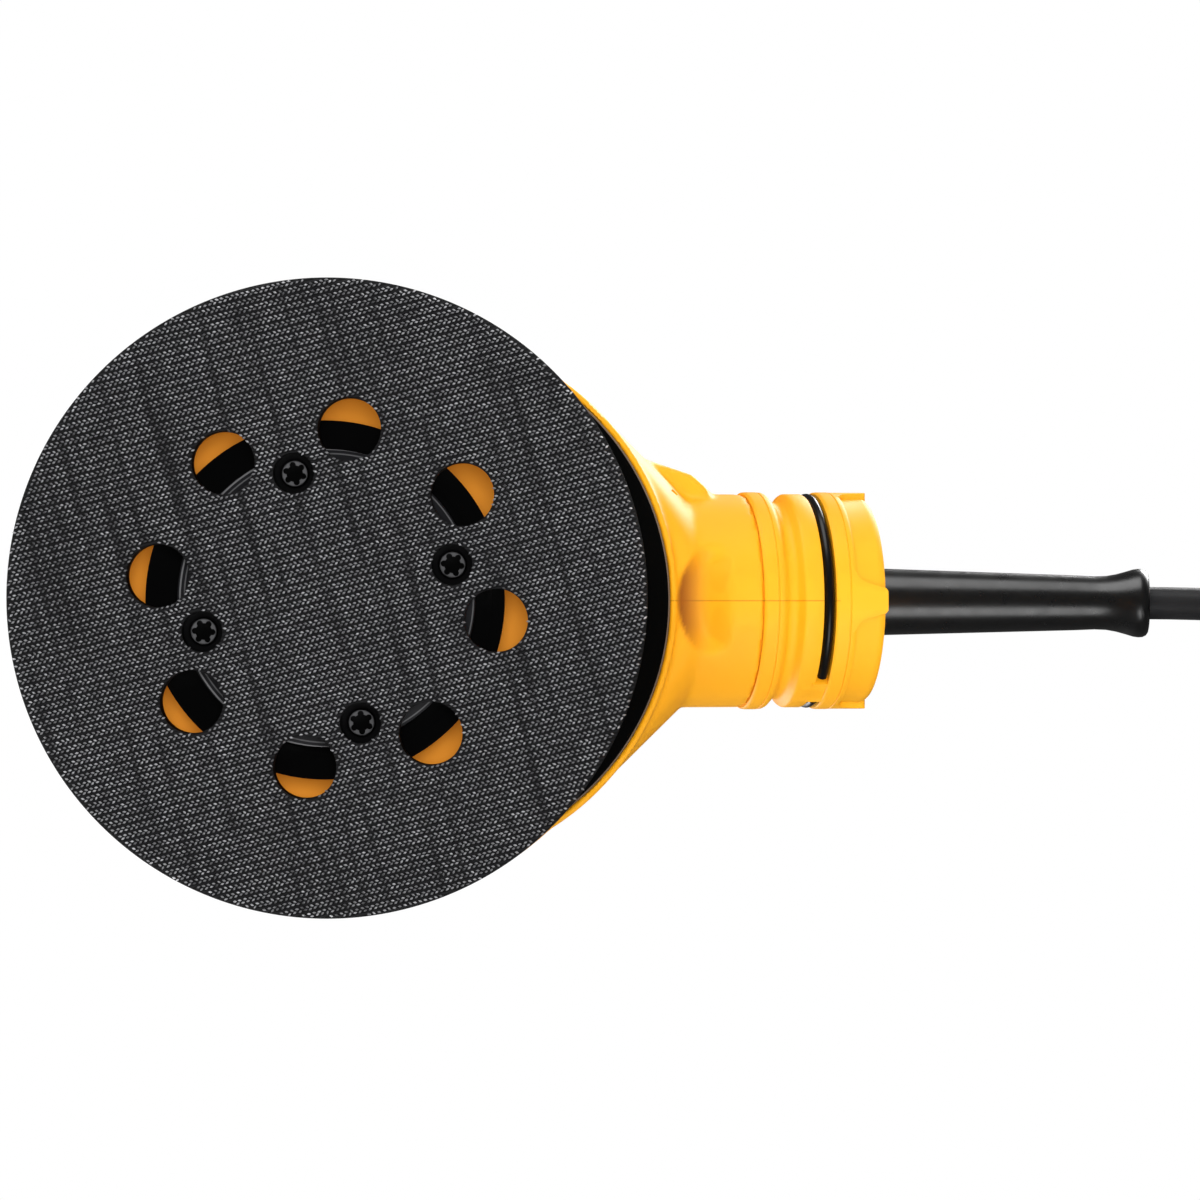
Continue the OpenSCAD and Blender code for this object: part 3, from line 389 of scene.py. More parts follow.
def metal(name, light, dark, rough, lines, axis_scale=(1, 1, 1), depth=0.004, **fixed):
    """Turned, ground or plated metal: fine lines of tooling that stretch the highlight."""
    material, tree, shader, place = bare(name, Metallic=1.0, **fixed)
    along = add(tree, "ShaderNodeMapping", {"Vector": place, "Scale": axis_scale})
    marks = add(tree, "ShaderNodeTexNoise", {"Vector": along.outputs[0], "Scale": 1 / lines, "Detail": 4.0})
    gloss = add(tree, "ShaderNodeMapRange", {
        "Value": marks.outputs[0], "To Min": rough * 0.75, "To Max": rough * 1.3})
    bumps = add(tree, "ShaderNodeBump", {
        "Height": marks.outputs[0], "Strength": 0.6, "Distance": depth * MM})
    finished(tree, shader, blend(tree, marks.outputs[0], linear(light), linear(dark)), gloss, bumps)
    return material


def striped(name, light, dark, rough, pitch, metallic, axis="Z"):
    """Stacked laminations or wound wire: even bands one sheet or one wire thick."""
    material, tree, shader, place = bare(name, Metallic=metallic)
    bands = add(tree, "ShaderNodeTexWave", {
        "Vector": place, "Scale": WAVE_PITCH / pitch, "Distortion": 0.4, "Detail": 1.0},
        wave_type="BANDS", bands_direction=axis)
    bumps = add(tree, "ShaderNodeBump", {
        "Height": bands.outputs[0], "Strength": 0.8, "Distance": pitch * 0.2 * MM})
    finished(tree, shader, blend(tree, bands.outputs[0], linear(dark), linear(light)), bumps=bumps)
    shader.inputs["Roughness"].default_value = rough
    return material


def coat_painted_highlights():
    """Powder-coated hub: dark grey satin, with painted highlights along two fine pale rings at its edge."""
    material = moulded("powder_coat_painted_highlights", "#2E2E31", "#232326", 0.42, 0.5, 0.01, IOR=1.5)
    tree, shader, place, tone = opened(material)
    span = from_axis(tree, place, PAD_AXIS)
    # Painted highlight: two thin pale rings where the hub's eased edge would catch the light
    for radius, width, part in ((27.9, 0.13, 0.45), (28.75, 0.16, 0.75)):
        ring = maths(tree, "COMPARE", span, radius, width)
        tone = blend(tree, maths(tree, "MULTIPLY", ring, part), tone, linear("#A6A6A8"))
    finished(tree, shader, tone)
    return material


def lip_rubber():
    """Matt black rubber of the skirt, with a painted highlight, a thin grey-brown line, along its outermost
    edge.
    """
    material = moulded("black_rubber_lip", "#030303", "#020202", 0.85, 0.6, 0.01, IOR=1.2)
    tree, shader, place, tone = opened(material)
    # The edge is a circle round the motor, with a second one pushed out under the port
    gaps = [maths(tree, "SUBTRACT", edge, from_axis(tree, place, (x, 0)))
            for edge, x in ((58.0, 0), (50.7, 14.1))]
    # Painted highlight: the thin grey-brown line along the skirt's outer edge
    painted_edge_highlight = maths(tree, "LESS_THAN", maths(tree, "MAXIMUM", *gaps), 0.32)
    finished(tree, shader, blend(tree, painted_edge_highlight, tone, linear("#6E5F50")))
    return material


def socket_steel():
    """Screw steel, its head painted pale grey as a painted highlight, going black with painted shade down in
    the socket.
    """
    material = moulded("screw_steel_painted_light", "#868688", "#646466", 0.5, 0.3, 0.01, IOR=1.5)
    tree, shader, place, tone = opened(material)
    axes = add(tree, "ShaderNodeSeparateXYZ", {"Vector": place})
    # Painted shade: black from the head's face down into the socket
    socket_painted_shade = add(tree, "ShaderNodeMapRange", {"Value": axes.outputs["Z"], "From Min": 7.72, "From Max": 7.95})
    finished(tree, shader, blend(tree, socket_painted_shade.outputs[0], tone, linear("#040404")))
    return material


def polyurethane_foam():
    """Self-skinned polyurethane foam: matt black, its skin pitted with small cells."""
    material, tree, shader, place = bare("polyurethane_foam", IOR=1.45)
    cells = add(tree, "ShaderNodeTexVoronoi", {"Vector": place, "Scale": 1 / 0.55})
    tint = add(tree, "ShaderNodeTexNoise", {"Vector": place, "Scale": 1 / 6, "Detail": 3.0})
    bumps = add(tree, "ShaderNodeBump", {
        "Height": cells.outputs["Distance"], "Strength": 0.7, "Distance": 0.12 * MM})
    gloss = add(tree, "ShaderNodeMapRange", {"Value": tint.outputs[0], "To Min": 0.66, "To Max": 0.86})
    finished(tree, shader, blend(tree, tint.outputs[0], linear("#0B0B0C"), linear("#131314")), gloss, bumps)
    return material


def nylon_tape():
    """Woven nylon ground of the hook tape: nearly black, with the weave's rib at every row."""
    material, tree, shader, place = bare("nylon_tape_woven", IOR=1.53, Roughness=0.8)
    turned = add(tree, "ShaderNodeMapping", {"Vector": place, "Rotation": (0, 0, math.radians(ROW_TURN))})
    weave = add(tree, "ShaderNodeTexWave", {
        "Vector": turned.outputs[0], "Scale": WAVE_PITCH / ROW_STEP, "Distortion": 1.5, "Detail": 2.0},
        wave_type="BANDS", bands_direction="Y")
    bumps = add(tree, "ShaderNodeBump", {
        "Height": weave.outputs[0], "Strength": 0.8, "Distance": 0.12 * MM})
    finished(tree, shader, blend(tree, weave.outputs[0], linear("#080809"), linear("#222224")), bumps=bumps)
    return material


def nylon_hook(name, dark, light):
    """Drawn nylon monofilament: each hook its own grey, darker in streaks that run across the rows."""
    material, tree, shader, place = bare(name, IOR=1.53, Roughness=0.42)
    turned = add(tree, "ShaderNodeMapping", {"Vector": place, "Rotation": (0, 0, math.radians(ROW_TURN))})
    drawn = add(tree, "ShaderNodeMapping", {"Vector": turned.outputs[0], "Scale": (1, 0.03, 1)})
    streaks = add(tree, "ShaderNodeTexNoise", {
        "Vector": drawn.outputs[0], "Scale": 1 / 1.5, "Detail": 2.0, "Roughness": 0.6})
    shade = add(tree, "ShaderNodeMapRange", {
        "Value": streaks.outputs[0], "From Min": 0.36, "From Max": 0.45, "To Min": 0.3, "To Max": 1.0})
    island = add(tree, "ShaderNodeNewGeometry")
    own = maths(tree, "POWER", island.outputs["Random Per Island"], 1.6)
    tone = blend(tree, own, linear(dark), linear(light))
    finished(tree, shader, blend(tree, shade.outputs[0], linear("#303032"), tone))
    return material


# ---------- the pad's hooks ----------

ROW_TURN = 14.4       # degrees that the rows of hooks rise towards the port
ROW_STEP = 0.7308     # between rows
HOOK_STEP = 1.0133    # between hooks in a row
PAIR_STEP = 0.56      # between the two rows of a pair; the dark lines lie between pairs

HOOK_ARCH = 0.24      # half the width of a hook's arch
HOOK_RISE = 0.3       # straight part below the arch
HOOKS_ALONG = 131     # enough to cross the pad before trimming
HOOKS_DOWN = 90
HOOKS_OUT = (66, 65)  # from the pad's middle back to the first hook, along and across the rows
LOOM_TURN = 0.2       # radians that a hook stands off its way, one standard deviation
LOOM_SHIFT = 0.03     # and millimetres off its place

PAD_TURN = -15        # rest angle of the pad
PAD_HOLES = [(32.7, 22.5 + 45 * i, 6.1) for i in range(8)]
PAD_WELLS = [(24.8, 90 * i, 3.95) for i in range(4)]

low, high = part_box("hook_face")
PAD_AXIS = ((low.x + high.x) / 2 / MM, (low.y + high.y) / 2 / MM)
PAD_RADIUS = (high.x - low.x) / 2 / MM


def pad_points(spots):
    """Places on the pad, in the frame, from (radius, angle, size)."""
    return [(PAD_AXIS[0] + r * math.cos(math.radians(a + PAD_TURN)),
             PAD_AXIS[1] + r * math.sin(math.radians(a + PAD_TURN)), size) for r, a, size in spots]


def pad_disc(name, radius, z0, z1):
    """A disc of the pad with its dust holes and screw wells cut."""
    disc = rod(name, radius, z0, z1, PAD_AXIS, sides=256)
    cutters = [rod("bit", size, z0 - 1, z1 + 1, (x, y), sides=72)
               for x, y, size in pad_points(PAD_HOLES + PAD_WELLS)]
    return carve(disc, joined(cutters, "bits"))


def hook_rows(name, row, wire, way):
    """Every second row of hooks: one arched hook, arrayed over the tape and trimmed to the pad."""
    bpy.ops.object.select_all(action="DESELECT")
    bpy.ops.mesh.primitive_circle_add(vertices=3, radius=wire * MM, location=(HOOK_ARCH * MM, 0, 0),
                                      rotation=(0, 0, -math.pi / 2))
    hook = bpy.context.object
    bpy.ops.object.transform_apply(location=True, rotation=True, scale=True)
    bpy.ops.object.mode_set(mode="EDIT")
    bpy.ops.mesh.select_all(action="SELECT")
    bpy.ops.mesh.spin(steps=4, angle=-math.pi, center=(0, 0, 0), axis=(0, 1, 0))
    bpy.ops.mesh.select_all(action="SELECT")
    bpy.ops.mesh.normals_make_consistent(inside=False)
    bpy.ops.object.mode_set(mode="OBJECT")
    for vertex in hook.data.vertices:
        if vertex.co.z > -0.01 * MM:
            vertex.co.z += HOOK_RISE * MM
    bpy.ops.object.shade_smooth()
    rows = Matrix.Rotation(math.radians(-ROW_TURN), 4, "Z")
    along, down = rows @ Vector((1, 0, 0)), rows @ Vector((0, 1, 0))
    corner = Vector((*PAD_AXIS, 0)) - HOOKS_OUT[0] * along - HOOKS_OUT[1] * down
    start = corner + row * (PAIR_STEP * down + HOOK_STEP / 2 * along)
    placed(hook, Matrix.Translation(start * MM) @ Matrix.Rotation(math.radians(way), 4, "Z"))
    placed(hook, Matrix.Translation((0, 0, 0.06 * MM - min(v.co.z for v in hook.data.vertices))))
    count = len(hook.data.vertices)
    for step, number in ((HOOK_STEP * along, HOOKS_ALONG), (2 * ROW_STEP * down, HOOKS_DOWN)):
        modify(hook, "ARRAY", use_relative_offset=False, use_constant_offset=True,
               constant_offset_displace=step * MM, count=number)
    spots = np.empty(len(hook.data.vertices) * 3)
    hook.data.vertices.foreach_get("co", spots)
    spots = spots.reshape(-1, count, 3)
    middle = spots.mean(1, keepdims=True)
    flat = middle[:, 0, :2] / MM
    gone = np.hypot(*(flat - PAD_AXIS).T) > PAD_RADIUS - 0.35
    for x, y, size in pad_points(PAD_HOLES + PAD_WELLS):
        gone |= np.hypot(*(flat - (x, y)).T) < size + 0.1
    # The loom's slack: each hook a little turned, shifted and pulled in
    dice = np.random.default_rng(7 + row)
    turn = dice.normal(0, LOOM_TURN, len(spots))
    c, n = np.cos(turn)[:, None], np.sin(turn)[:, None]
    local = spots - middle
    x, y = local[:, :, 0] * c - local[:, :, 1] * n, local[:, :, 0] * n + local[:, :, 1] * c
    local[:, :, 0], local[:, :, 1] = x, y
    shift = dice.normal(0, LOOM_SHIFT * MM, (len(spots), 1, 3))
    shift[:, :, 2] = dice.uniform(0, 0.2 * MM, (len(spots), 1))
    hook.data.vertices.foreach_set("co", (local + middle + shift).ravel())
    only(hook)
    bpy.ops.object.mode_set(mode="EDIT")
    bpy.ops.mesh.select_mode(type="VERT")
    bpy.ops.mesh.select_all(action="DESELECT")
    bpy.ops.object.mode_set(mode="OBJECT")
    hook.data.vertices.foreach_set("select", np.repeat(gone, count))
    bpy.ops.object.mode_set(mode="EDIT")
    bpy.ops.mesh.delete(type="VERT")
    bpy.ops.object.mode_set(mode="OBJECT")
    hook.name = hook.data.name = name
    return hook


# ---------- the shroud and its dust port ----------

RIM_Z = 14.6
# The port's own frame: its Z runs out along the port, 12 degrees above level
PORT = Matrix.Translation((65.7 * MM, 0, 37.8 * MM)) @ Matrix.Rotation(math.radians(78), 4, "Y")
PORT_R, PORT_BORE, PORT_LEN = 20.9, 17.8, 38.0
# Places along the port of its ridge, snap-ring groove and nose
RIDGE_U, GROOVE_U, GROOVE_W, GROOVE_R, NOSE_U = 13.5, 25.4, 2.4, 19.1, 31.9
BRIDGE = 60           # degrees round the port to the bridge across the groove
RING_BAR = 1.0
SHELL_CELL = 0.72     # grain of the remesh that runs the corners together
HOLLOW_R, HOLLOW_X = 14.6, 80.6
HOLLOW_DEPTH = 2.8
UNDER_PORT_Z = 27     # the hollow is in the wall below this
SLIT_SPOT = (65.8, -21.1, 0)


def fall(t):
    """Smooth step from 0 to 1."""
    t = np.clip(t, 0, 1)
    return t * t * (3 - 2 * t)


def shroud_shell():
    """The funnel of the shroud, its corners run together as they leave the mould, up to the port's ridge."""
    shell = copy_of("shroud", "shroud_shell")
    carve(shell, placed(rod("cut", 30, RIDGE_U, 60), PORT))
    modify(shell, "REMESH", mode="VOXEL", voxel_size=SHELL_CELL * MM, adaptivity=0, use_smooth_shade=True)
    modify(shell, "SMOOTH", factor=0.5, iterations=5)
    # The hollow where the funnel runs out on the barrel, pressed up into the wall
    x, y, z = (np.array([v.co[i] for v in shell.data.vertices]) / MM for i in range(3))
    reach = HOLLOW_R - np.hypot(x - HOLLOW_X, y)
    inward = np.clip(reach / 4.6, 0, 1)
    depth = inward * (2 - inward) * (1 - fall((x - 70.5) / 7.5)) * (1 - fall((abs(y) - 7.0) / 5.0))
    depth *= z < UNDER_PORT_Z
    pressed = shell.vertex_groups.new(name="hollow")
    for number in np.flatnonzero(depth > 0.002):
        pressed.add([int(number)], float(depth[number]), "REPLACE")
    modify(shell, "DISPLACE", direction="Z", strength=HOLLOW_DEPTH * MM, mid_level=0, vertex_group="hollow")
    # Painted shade: a brown darkening stored on the hollow's steep wall, read by the shroud's finish
    shade = shell.data.attributes.new("hollow_painted_shade", "FLOAT", "POINT")
    dark = np.clip(reach / 0.7, 0, 1) * (1 - fall((x - 66) / 7.5)) * (1 - fall((abs(y) - 4) / 9))
    shade.data.foreach_set("value", dark * (z < UNDER_PORT_Z))
    # The rim's foot and the port's joint are machined flat in the mould
    carve(shell, block("foot", (-80, -80, 0), (120, 80, RIM_Z + 0.12)))
    carve(shell, placed(rod("cut", 30, RIDGE_U - 0.32, 60), PORT))
    # The slit beside the screw lug
    place = shell.ray_cast(Vector(SLIT_SPOT) * MM, (0, 0, 1))[1]
    slit = block("slit", (-0.75, -0.22, -2), (0.75, 0.22, 1.2))
    carve(shell, placed(slit, Matrix.Translation(place) @ Matrix.Rotation(math.radians(35), 4, "Z")))
    return smooth(shell, 50)


def dust_port():
    """The turned end of the port: ridge, hose groove, ring, snap-ring slot, collar and stepped nose."""
    r, u, g = PORT_R, RIDGE_U, GROOVE_U + GROOVE_W
    outline = [
        (PORT_BORE, u - 0.6), (r - 0.7, u - 0.6), (r - 0.7, u - 0.1), (r + 0.1, u - 0.1),
        (r + 0.36, u + 0.2), (r + 0.42, u + 0.7), (r + 0.42, u + 2.65), (r + 0.2, u + 2.75),
        (r + 0.2, u + 2.9), (r + 0.38, u + 3.0), (r + 0.34, u + 3.6), (r + 0.1, u + 4.1),
        (r - 0.5, u + 4.65), (r - 1.2, u + 5.1), (r - 1.55, u + 5.6), (r - 1.66, u + 6.2),
        (r - 1.6, u + 6.9), (r - 1.2, u + 7.35), (r - 0.2, u + 8.0), (r + 0.02, u + 8.35),
        (r + 0.06, u + 8.8), (r + 0.06, GROOVE_U - 0.4), (r - 0.15, GROOVE_U), (GROOVE_R, GROOVE_U),
        (GROOVE_R, g), (r + 0.15, g), (r + 0.38, g + 0.3), (r + 0.42, g + 0.8), (r + 0.42, g + 2.7),
        (r + 0.2, g + 2.8), (r + 0.2, g + 2.95), (r + 0.38, g + 3.05), (r + 0.34, NOSE_U - 0.4),
        (r + 0.1, NOSE_U), (r - 0.5, NOSE_U + 0.15), (r - 0.62, NOSE_U + 0.5), (r - 0.68, PORT_LEN - 1.6),
        (r - 0.9, PORT_LEN - 0.6), (r - 1.4, PORT_LEN - 0.05), (PORT_BORE + 0.5, PORT_LEN - 0.05),
        (PORT_BORE, PORT_LEN - 0.5)]
    port = spun("dust_port", outline, steps=160)
    # One lock rib, drawn flat with its foot flared, rounded off to the collar's curve, set four times
    side = [(NOSE_U - 0.8, 6.6), (NOSE_U + 0.0, 5.6), (NOSE_U + 0.5, 4.6), (NOSE_U + 1.2, 3.9),
            (NOSE_U + 2.2, 3.45), (PORT_LEN - 1.2, 2.7), (PORT_LEN - 0.3, 2.45), (PORT_LEN + 0.1, 1.9)]
    for turn in range(4):
        rib = plate("rib", [(v, y) for v, y in side] + [(v, -y) for v, y in reversed(side)], r - 2.4, r + 2)
        carve(rib, rod("curve", r + 0.36, NOSE_U - 3, PORT_LEN + 3, sides=160), "INTERSECT")
        modify(rib, "BEVEL", width=0.28 * MM, segments=3, limit_method="ANGLE", angle_limit=math.radians(50))
        carve(port, placed(rib, Matrix.Rotation(math.radians(90 * turn), 4, "Z")), "UNION")
    bridge = block("bridge", (GROOVE_R - 0.8, -3.5, GROOVE_U - 0.6), (r - 0.02, 3.5, g + 0.5))
    carve(port, placed(bridge, Matrix.Rotation(math.radians(BRIDGE), 4, "Z")), "UNION")
    return smooth(placed(port, PORT), 40)


def ring_bar(name, r_mid, bar, start, turn, u, sides=20):
    """A round-wire ring lying across the port's axis."""
    bpy.ops.object.select_all(action="DESELECT")
    bpy.ops.mesh.primitive_circle_add(vertices=sides, radius=bar * MM, rotation=(math.pi / 2, 0, 0),
                                      location=(r_mid * MM, 0, u * MM))
    piece = named(name)
    bpy.ops.object.mode_set(mode="EDIT")
    bpy.ops.mesh.select_all(action="SELECT")
    bpy.ops.mesh.edge_face_add()
    bpy.ops.mesh.spin(steps=140, angle=-math.radians(turn), center=(0, 0, 0), axis=(0, 0, 1))
    bpy.ops.mesh.select_all(action="SELECT")
    bpy.ops.mesh.normals_make_consistent(inside=False)
    bpy.ops.object.mode_set(mode="OBJECT")
    placed(piece, Matrix.Rotation(math.radians(start), 4, "Z"))
    return placed(piece, PORT)


# ---------- the pad's other pieces, and those inside the shroud ----------

FOAM_TOP = 9.6
TAPE_FOOT, TAPE_TOP = 0.62, 1.6
SCREW_HEAD_R = 2.8
SCREW_HEAD_T = 1.9
LOBE_R, LOBE_AT, SOCKET_R, SOCKET_DEEP = 0.6, 1.7, 1.6, 1.5
SCREW_TURNS = (8, 25, 4, 17)

# The hub's and the fan's edges stand a little off their axes, towards -X
HUB_EDGE_R, HUB_MIDDLE = 28.75, (-1.6, -0.5)
BAFFLE_EDGE_R, BAFFLE_MIDDLE = 33.0, (-1.9, -0.5)
FAN_EDGE_R, FAN_MIDDLE = 34.3, (-2.0, -0.5)
LIP_R, LIP_EYE_R, LIP_Z, LIP_MIDDLE = 34.85, 29.6, (20.4, 21.9), (-2.1, -0.15)


def star_screw(name, at, turn):
    """A pan-head screw with a six-lobed socket, in its well in the pad."""
    z0, head_r = FOAM_TOP - SCREW_HEAD_T, SCREW_HEAD_R
    outline = [(0, z0), (2.25, z0), (2.45, z0 + 0.15), (2.7, z0 + 0.6), (head_r, z0 + 1.1),
               (head_r, FOAM_TOP), (2.0, FOAM_TOP), (2.0, z0 + 6), (0, z0 + 6)]
    screw = spun(name, outline, steps=48)
    for lobe in range(6):
        a = math.radians(60 * lobe)
        at_lobe = (LOBE_AT * math.cos(a), LOBE_AT * math.sin(a))
        carve(screw, rod("lobe", LOBE_R, z0 - 1, z0 + SOCKET_DEEP, at_lobe, sides=20))
    carve(screw, rod("core", SOCKET_R, z0 - 1, z0 + SOCKET_DEEP, sides=36))
    seat = Matrix.Translation((at[0] * MM, at[1] * MM, 0)) @ Matrix.Rotation(math.radians(turn), 4, "Z")
    return smooth(placed(screw, seat), 35)


def screw_set():
    """The pad's four screws as one piece."""
    heads = [star_screw("pad_screw_%d" % (number + 1), (x, y), SCREW_TURNS[number])
             for number, (x, y, size) in enumerate(pad_points(PAD_WELLS))]
    return joined(heads, "pad_screw_set")


def trimmed(piece, outer, z0, z1, radius, middle):
    """Cuts away what stands outside an upright cylinder, between two heights."""
    around = rod("around", outer, z0, z1, sides=160)
    carve(around, rod("kept", radius, z0 - 1, z1 + 1, middle, sides=160))
    return carve(piece, around)


def hub_plate():
    """The pad's coated steel hub, its edge eased."""
    return soften(trimmed(copy_of("pad_hub", "hub_plate"), 34, 10, 22, HUB_EDGE_R, HUB_MIDDLE), 0.4, 3)


def baffle_disc():
    """The baffle above the fan, trimmed to stay hidden behind it."""
    disc = copy_of("baffle_plate", "baffle_disc")
    return smooth(trimmed(disc, 40, 40, 50, BAFFLE_EDGE_R, BAFFLE_MIDDLE), 30)


def fan_wheel():
    """The fan, its edge trimmed, with a flat lip round its mouth."""
    wheel = trimmed(copy_of("eccentric_fan", "fan_wheel"), 40, 14, 50, FAN_EDGE_R, FAN_MIDDLE)
    lip = rod("lip", LIP_R, *LIP_Z, LIP_MIDDLE, sides=160)
    carve(lip, rod("eye", LIP_EYE_R, LIP_Z[0] - 1.4, LIP_Z[1] + 2.1, LIP_MIDDLE, sides=160))
    return smooth(carve(wheel, lip, "UNION"), 30)


def cord_boot():
    """The rubber boot the cord leaves by: clamp flange, long taper and a rolled, flared end."""
    outline = [
        (3.35, 35), (10.5, 35), (10.6, 35.2), (10.6, 37.8), (10.4, 38), (8.8, 38), (8.8, 56.8),
        (7.9, 76.8), (6.75, 110), (5.6, 148), (5.42, 152), (5.5, 154.4), (5.85, 156.4), (6.4, 158.4),
        (6.85, 159.9), (7.0, 161), (6.93, 161.8), (6.6, 162.5), (6.0, 162.9), (5.2, 163.05),
        (3.9, 163.05), (3.35, 162.6)]
    boot = spun("cord_boot", outline, steps=72)
    placed(boot, Matrix.Translation((0, 0, CORD_Z * MM)) @ Matrix.Rotation(math.radians(90), 4, "Y"))
    # It bends half a millimetre to the side on its way out
    for vertex in boot.data.vertices:
        out = max(0, vertex.co.x / MM - BOOT_FOOT_X) / (BOOT_END_X - BOOT_FOOT_X)
        vertex.co.y += BOOT_BEND * MM * out
    return smooth(boot, 50)


# ---------- the cord ----------

CORD_D = 6.6
CORD_Z = 103.0
BOOT_FOOT_X, BOOT_END_X = 57, 163
BOOT_BEND = 0.5
# Places along the cord from the boot to the coil, with heights from CORD_Z
ROUTE = [(163, 0.5, 0), (170, 0.6, 0), (178, 1.0, -0.4), (188, 2.9, -2.5), (198, 7.2, -6.5),
         (208, 13.2, -12.5), (218, 19.8, -20), (228, 26.4, -28.5), (237.5, 32.6, -37.5),
         (246, 38.8, -46.5), (253, 45.6, -55), (258, 53.6, -62.5), (260.7, 62.5, -68.7),
         (260.6, 72, -73.4), (257.5, 81, -76.6), (251.5, 89, -78.3), (243, 95.3, -78.9),
         (233.5, 99, -79), (223, 100.2, -79), (213, 98.8, -79), (203, 94.2, -79),
         (195, 87.2, -79), (189, 78.5, -79)]
# And from the coil to the plug, with heights from TAIL_Z
TAIL = [(178.4, 54, 0), (178.5, 46, 0.4), (179.4, 38, 1.4),
        (180.8, 31, 2.8), (181.8, 25, 3.8), (182, 20, 4.1)]
COIL = (223.0, 62.0)
COIL_R = 38.0         # of its first turn
COIL_TOP = 23.9
TAIL_Z = 4.1


def through(points, steps):
    """A smooth line through points, with steps places between each two."""
    p = np.array(points, float)
    line = []
    for i in range(len(p) - 1):
        a, b, c, d = p[max(i - 1, 0)], p[i], p[i + 1], p[min(i + 2, len(p) - 1)]
        for k in range(steps):
            t = k / steps
            line.append(0.5 * (2 * b + (c - a) * t + (2 * a - 5 * b + 4 * c - d) * t * t
                               + (3 * b - a - 3 * c + d) * t ** 3))
    return line + [p[-1]]


def winding():
    """The coil's turns, three layers of three, from the top inside to the bottom outside."""
    steps = [("in", 1), ("in", 1), ("down", -1), ("in", -1), ("in", -1), ("down", -1), ("in", 1), ("in", 1)]
    line = []
    for angle in np.arange(160.0, 180.0 + 360 * 9 + 1, 7.5):
        r = COIL_R - CORD_D * fall((angle - 170) / 70)
        z = COIL_TOP - CORD_D * fall((angle - 240) / 45)
        for number, (way, sign) in enumerate(steps, 1):
            at = angle - 360 * number
            if way == "in":
                r += CORD_D * sign * fall((at - 195) / 45)
            else:
                z += CORD_D * sign * fall((at - 240) / 45)
        a = math.radians(angle)
        line.append(np.array((COIL[0] + r * math.cos(a), COIL[1] + r * math.sin(a), z)))
    return line


def free_cord():
    """One open curve from the sleeve, down on to the coil, round its turns, and out to the plug."""
    route = [q + (0, 0, CORD_Z) for q in through(ROUTE, 3)]
    tail = [q + (0, 0, TAIL_Z) for q in through(TAIL, 3)]
    points = route[:-2] + winding() + tail
    curve = bpy.data.curves.new("cord_lead_free", "CURVE")
    curve.dimensions = "3D"
    curve.bevel_depth = CORD_D / 2 * MM
    curve.bevel_resolution = 3
    curve.use_fill_caps = True
    spline = curve.splines.new("POLY")
    spline.points.add(len(points) - 1)
    for spot, q in zip(spline.points, points):
        spot.co = (*(q * MM), 1)
    spline.use_smooth = True
    cord = bpy.data.objects.new("cord_free", curve)
    scene.collection.objects.link(cord)
    length = sum(np.linalg.norm(b - a) for a, b in zip(points, points[1:])) * MM
    return cord, length


# ---------- everything put together ----------

studio()

# One finish for each of the record's material slots
FINISH = {
    # The pad: woven ground and pitted foam, both nearly black
    "hook_sheet": nylon_tape(),
    "foam": polyurethane_foam(),
    # Moulded skins: satin black switch and clamp parts, a duller fan, warm yellow shells, soft matt grip
    "black_plastic": moulded("black_nylon_moulded", "#101011", "#09090A", 0.42, 0.4, 0.008, IOR=1.53),
    "fan_plastic": moulded("black_nylon_fan", "#0A0A0B", "#060606", 0.5, 0.5, 0.006, IOR=1.45),
    "yellow_plastic": yellow_abs(),
    "soft_rubber": moulded("black_tpe_overmould", "#0C0C0D", "#080808", 0.46, 0.3, 0.01, IOR=1.5),
    # Steels and aluminium: dark oxide, pale zinc, bright races, turned shafts, grainy casting
    "black_screw": metal("black_oxide_steel", "#3A3A3C", "#1C1C1D", 0.42, 0.6),
    "zinc_screw": metal("zinc_plated_steel", "#C9CCD0", "#9EA2A8", 0.32, 0.5),
    "bearing_steel": metal("ground_bearing_steel", "#D6D8DB", "#B0B3B8", 0.16, 0.4),
    "machined_steel": metal("turned_steel", "#BEC0C4", "#8E9196", 0.3, 0.25, (1, 1, 6)),
    "coated_steel": moulded("black_powder_coat", "#38383B", "#2B2B2E", 0.42, 0.5, 0.01, IOR=1.5),
    "die_cast": metal("die_cast_aluminium", "#C2C4C7", "#9A9DA1", 0.42, 1.2, depth=0.03),
    # The motor: banded iron and copper, turned segments, drawn brass, dull carbon
    "lamination": striped("stacked_laminations", "#6C6E72", "#2C2D30", 0.45, 0.5, 1.0),
    "copper_wire": striped("enamelled_copper_winding", "#B8622E", "#5E2A12", 0.3, 0.5, 0.8, axis="X"),
    "copper_bar": metal("turned_copper", "#D08A5C", "#A5623A", 0.28, 0.2, (1, 1, 6)),
    "brass": metal("drawn_brass", "#D9B46A", "#B08C45", 0.28, 0.5),
    "carbon": moulded("pressed_carbon", "#2A2A2C", "#161617", 0.5, 0.3, 0.01),
    "spring_steel": metal("spring_steel_wire", "#A6A8AC", "#7C7E82", 0.3, 0.3),
    # The small things: glossy film, green potting, satin jackets
    "label_film": moulded("polyester_label_film", "#19191B", "#131315", 0.2, 2.0, 0.002, swing=0.03),
    "control_board": moulded("potted_circuit", "#1E4A2C", "#16381F", 0.35, 1.2, 0.05),
    "cord_jacket": moulded("pvc_cord_jacket", "#232325", "#1B1B1D", 0.5, 0.5, 0.02, IOR=1.45),
    "wire_insulation": moulded("pvc_wire_insulation", "#6A4426", "#54351D", 0.4, 0.6, 0.01),
    "tie_wire": moulded("coated_tie", "#202022", "#161618", 0.45, 0.6, 0.02),
}
SLOT = {s["node"]: s["material_slot"] for s in frame["record"]["subparts"]}
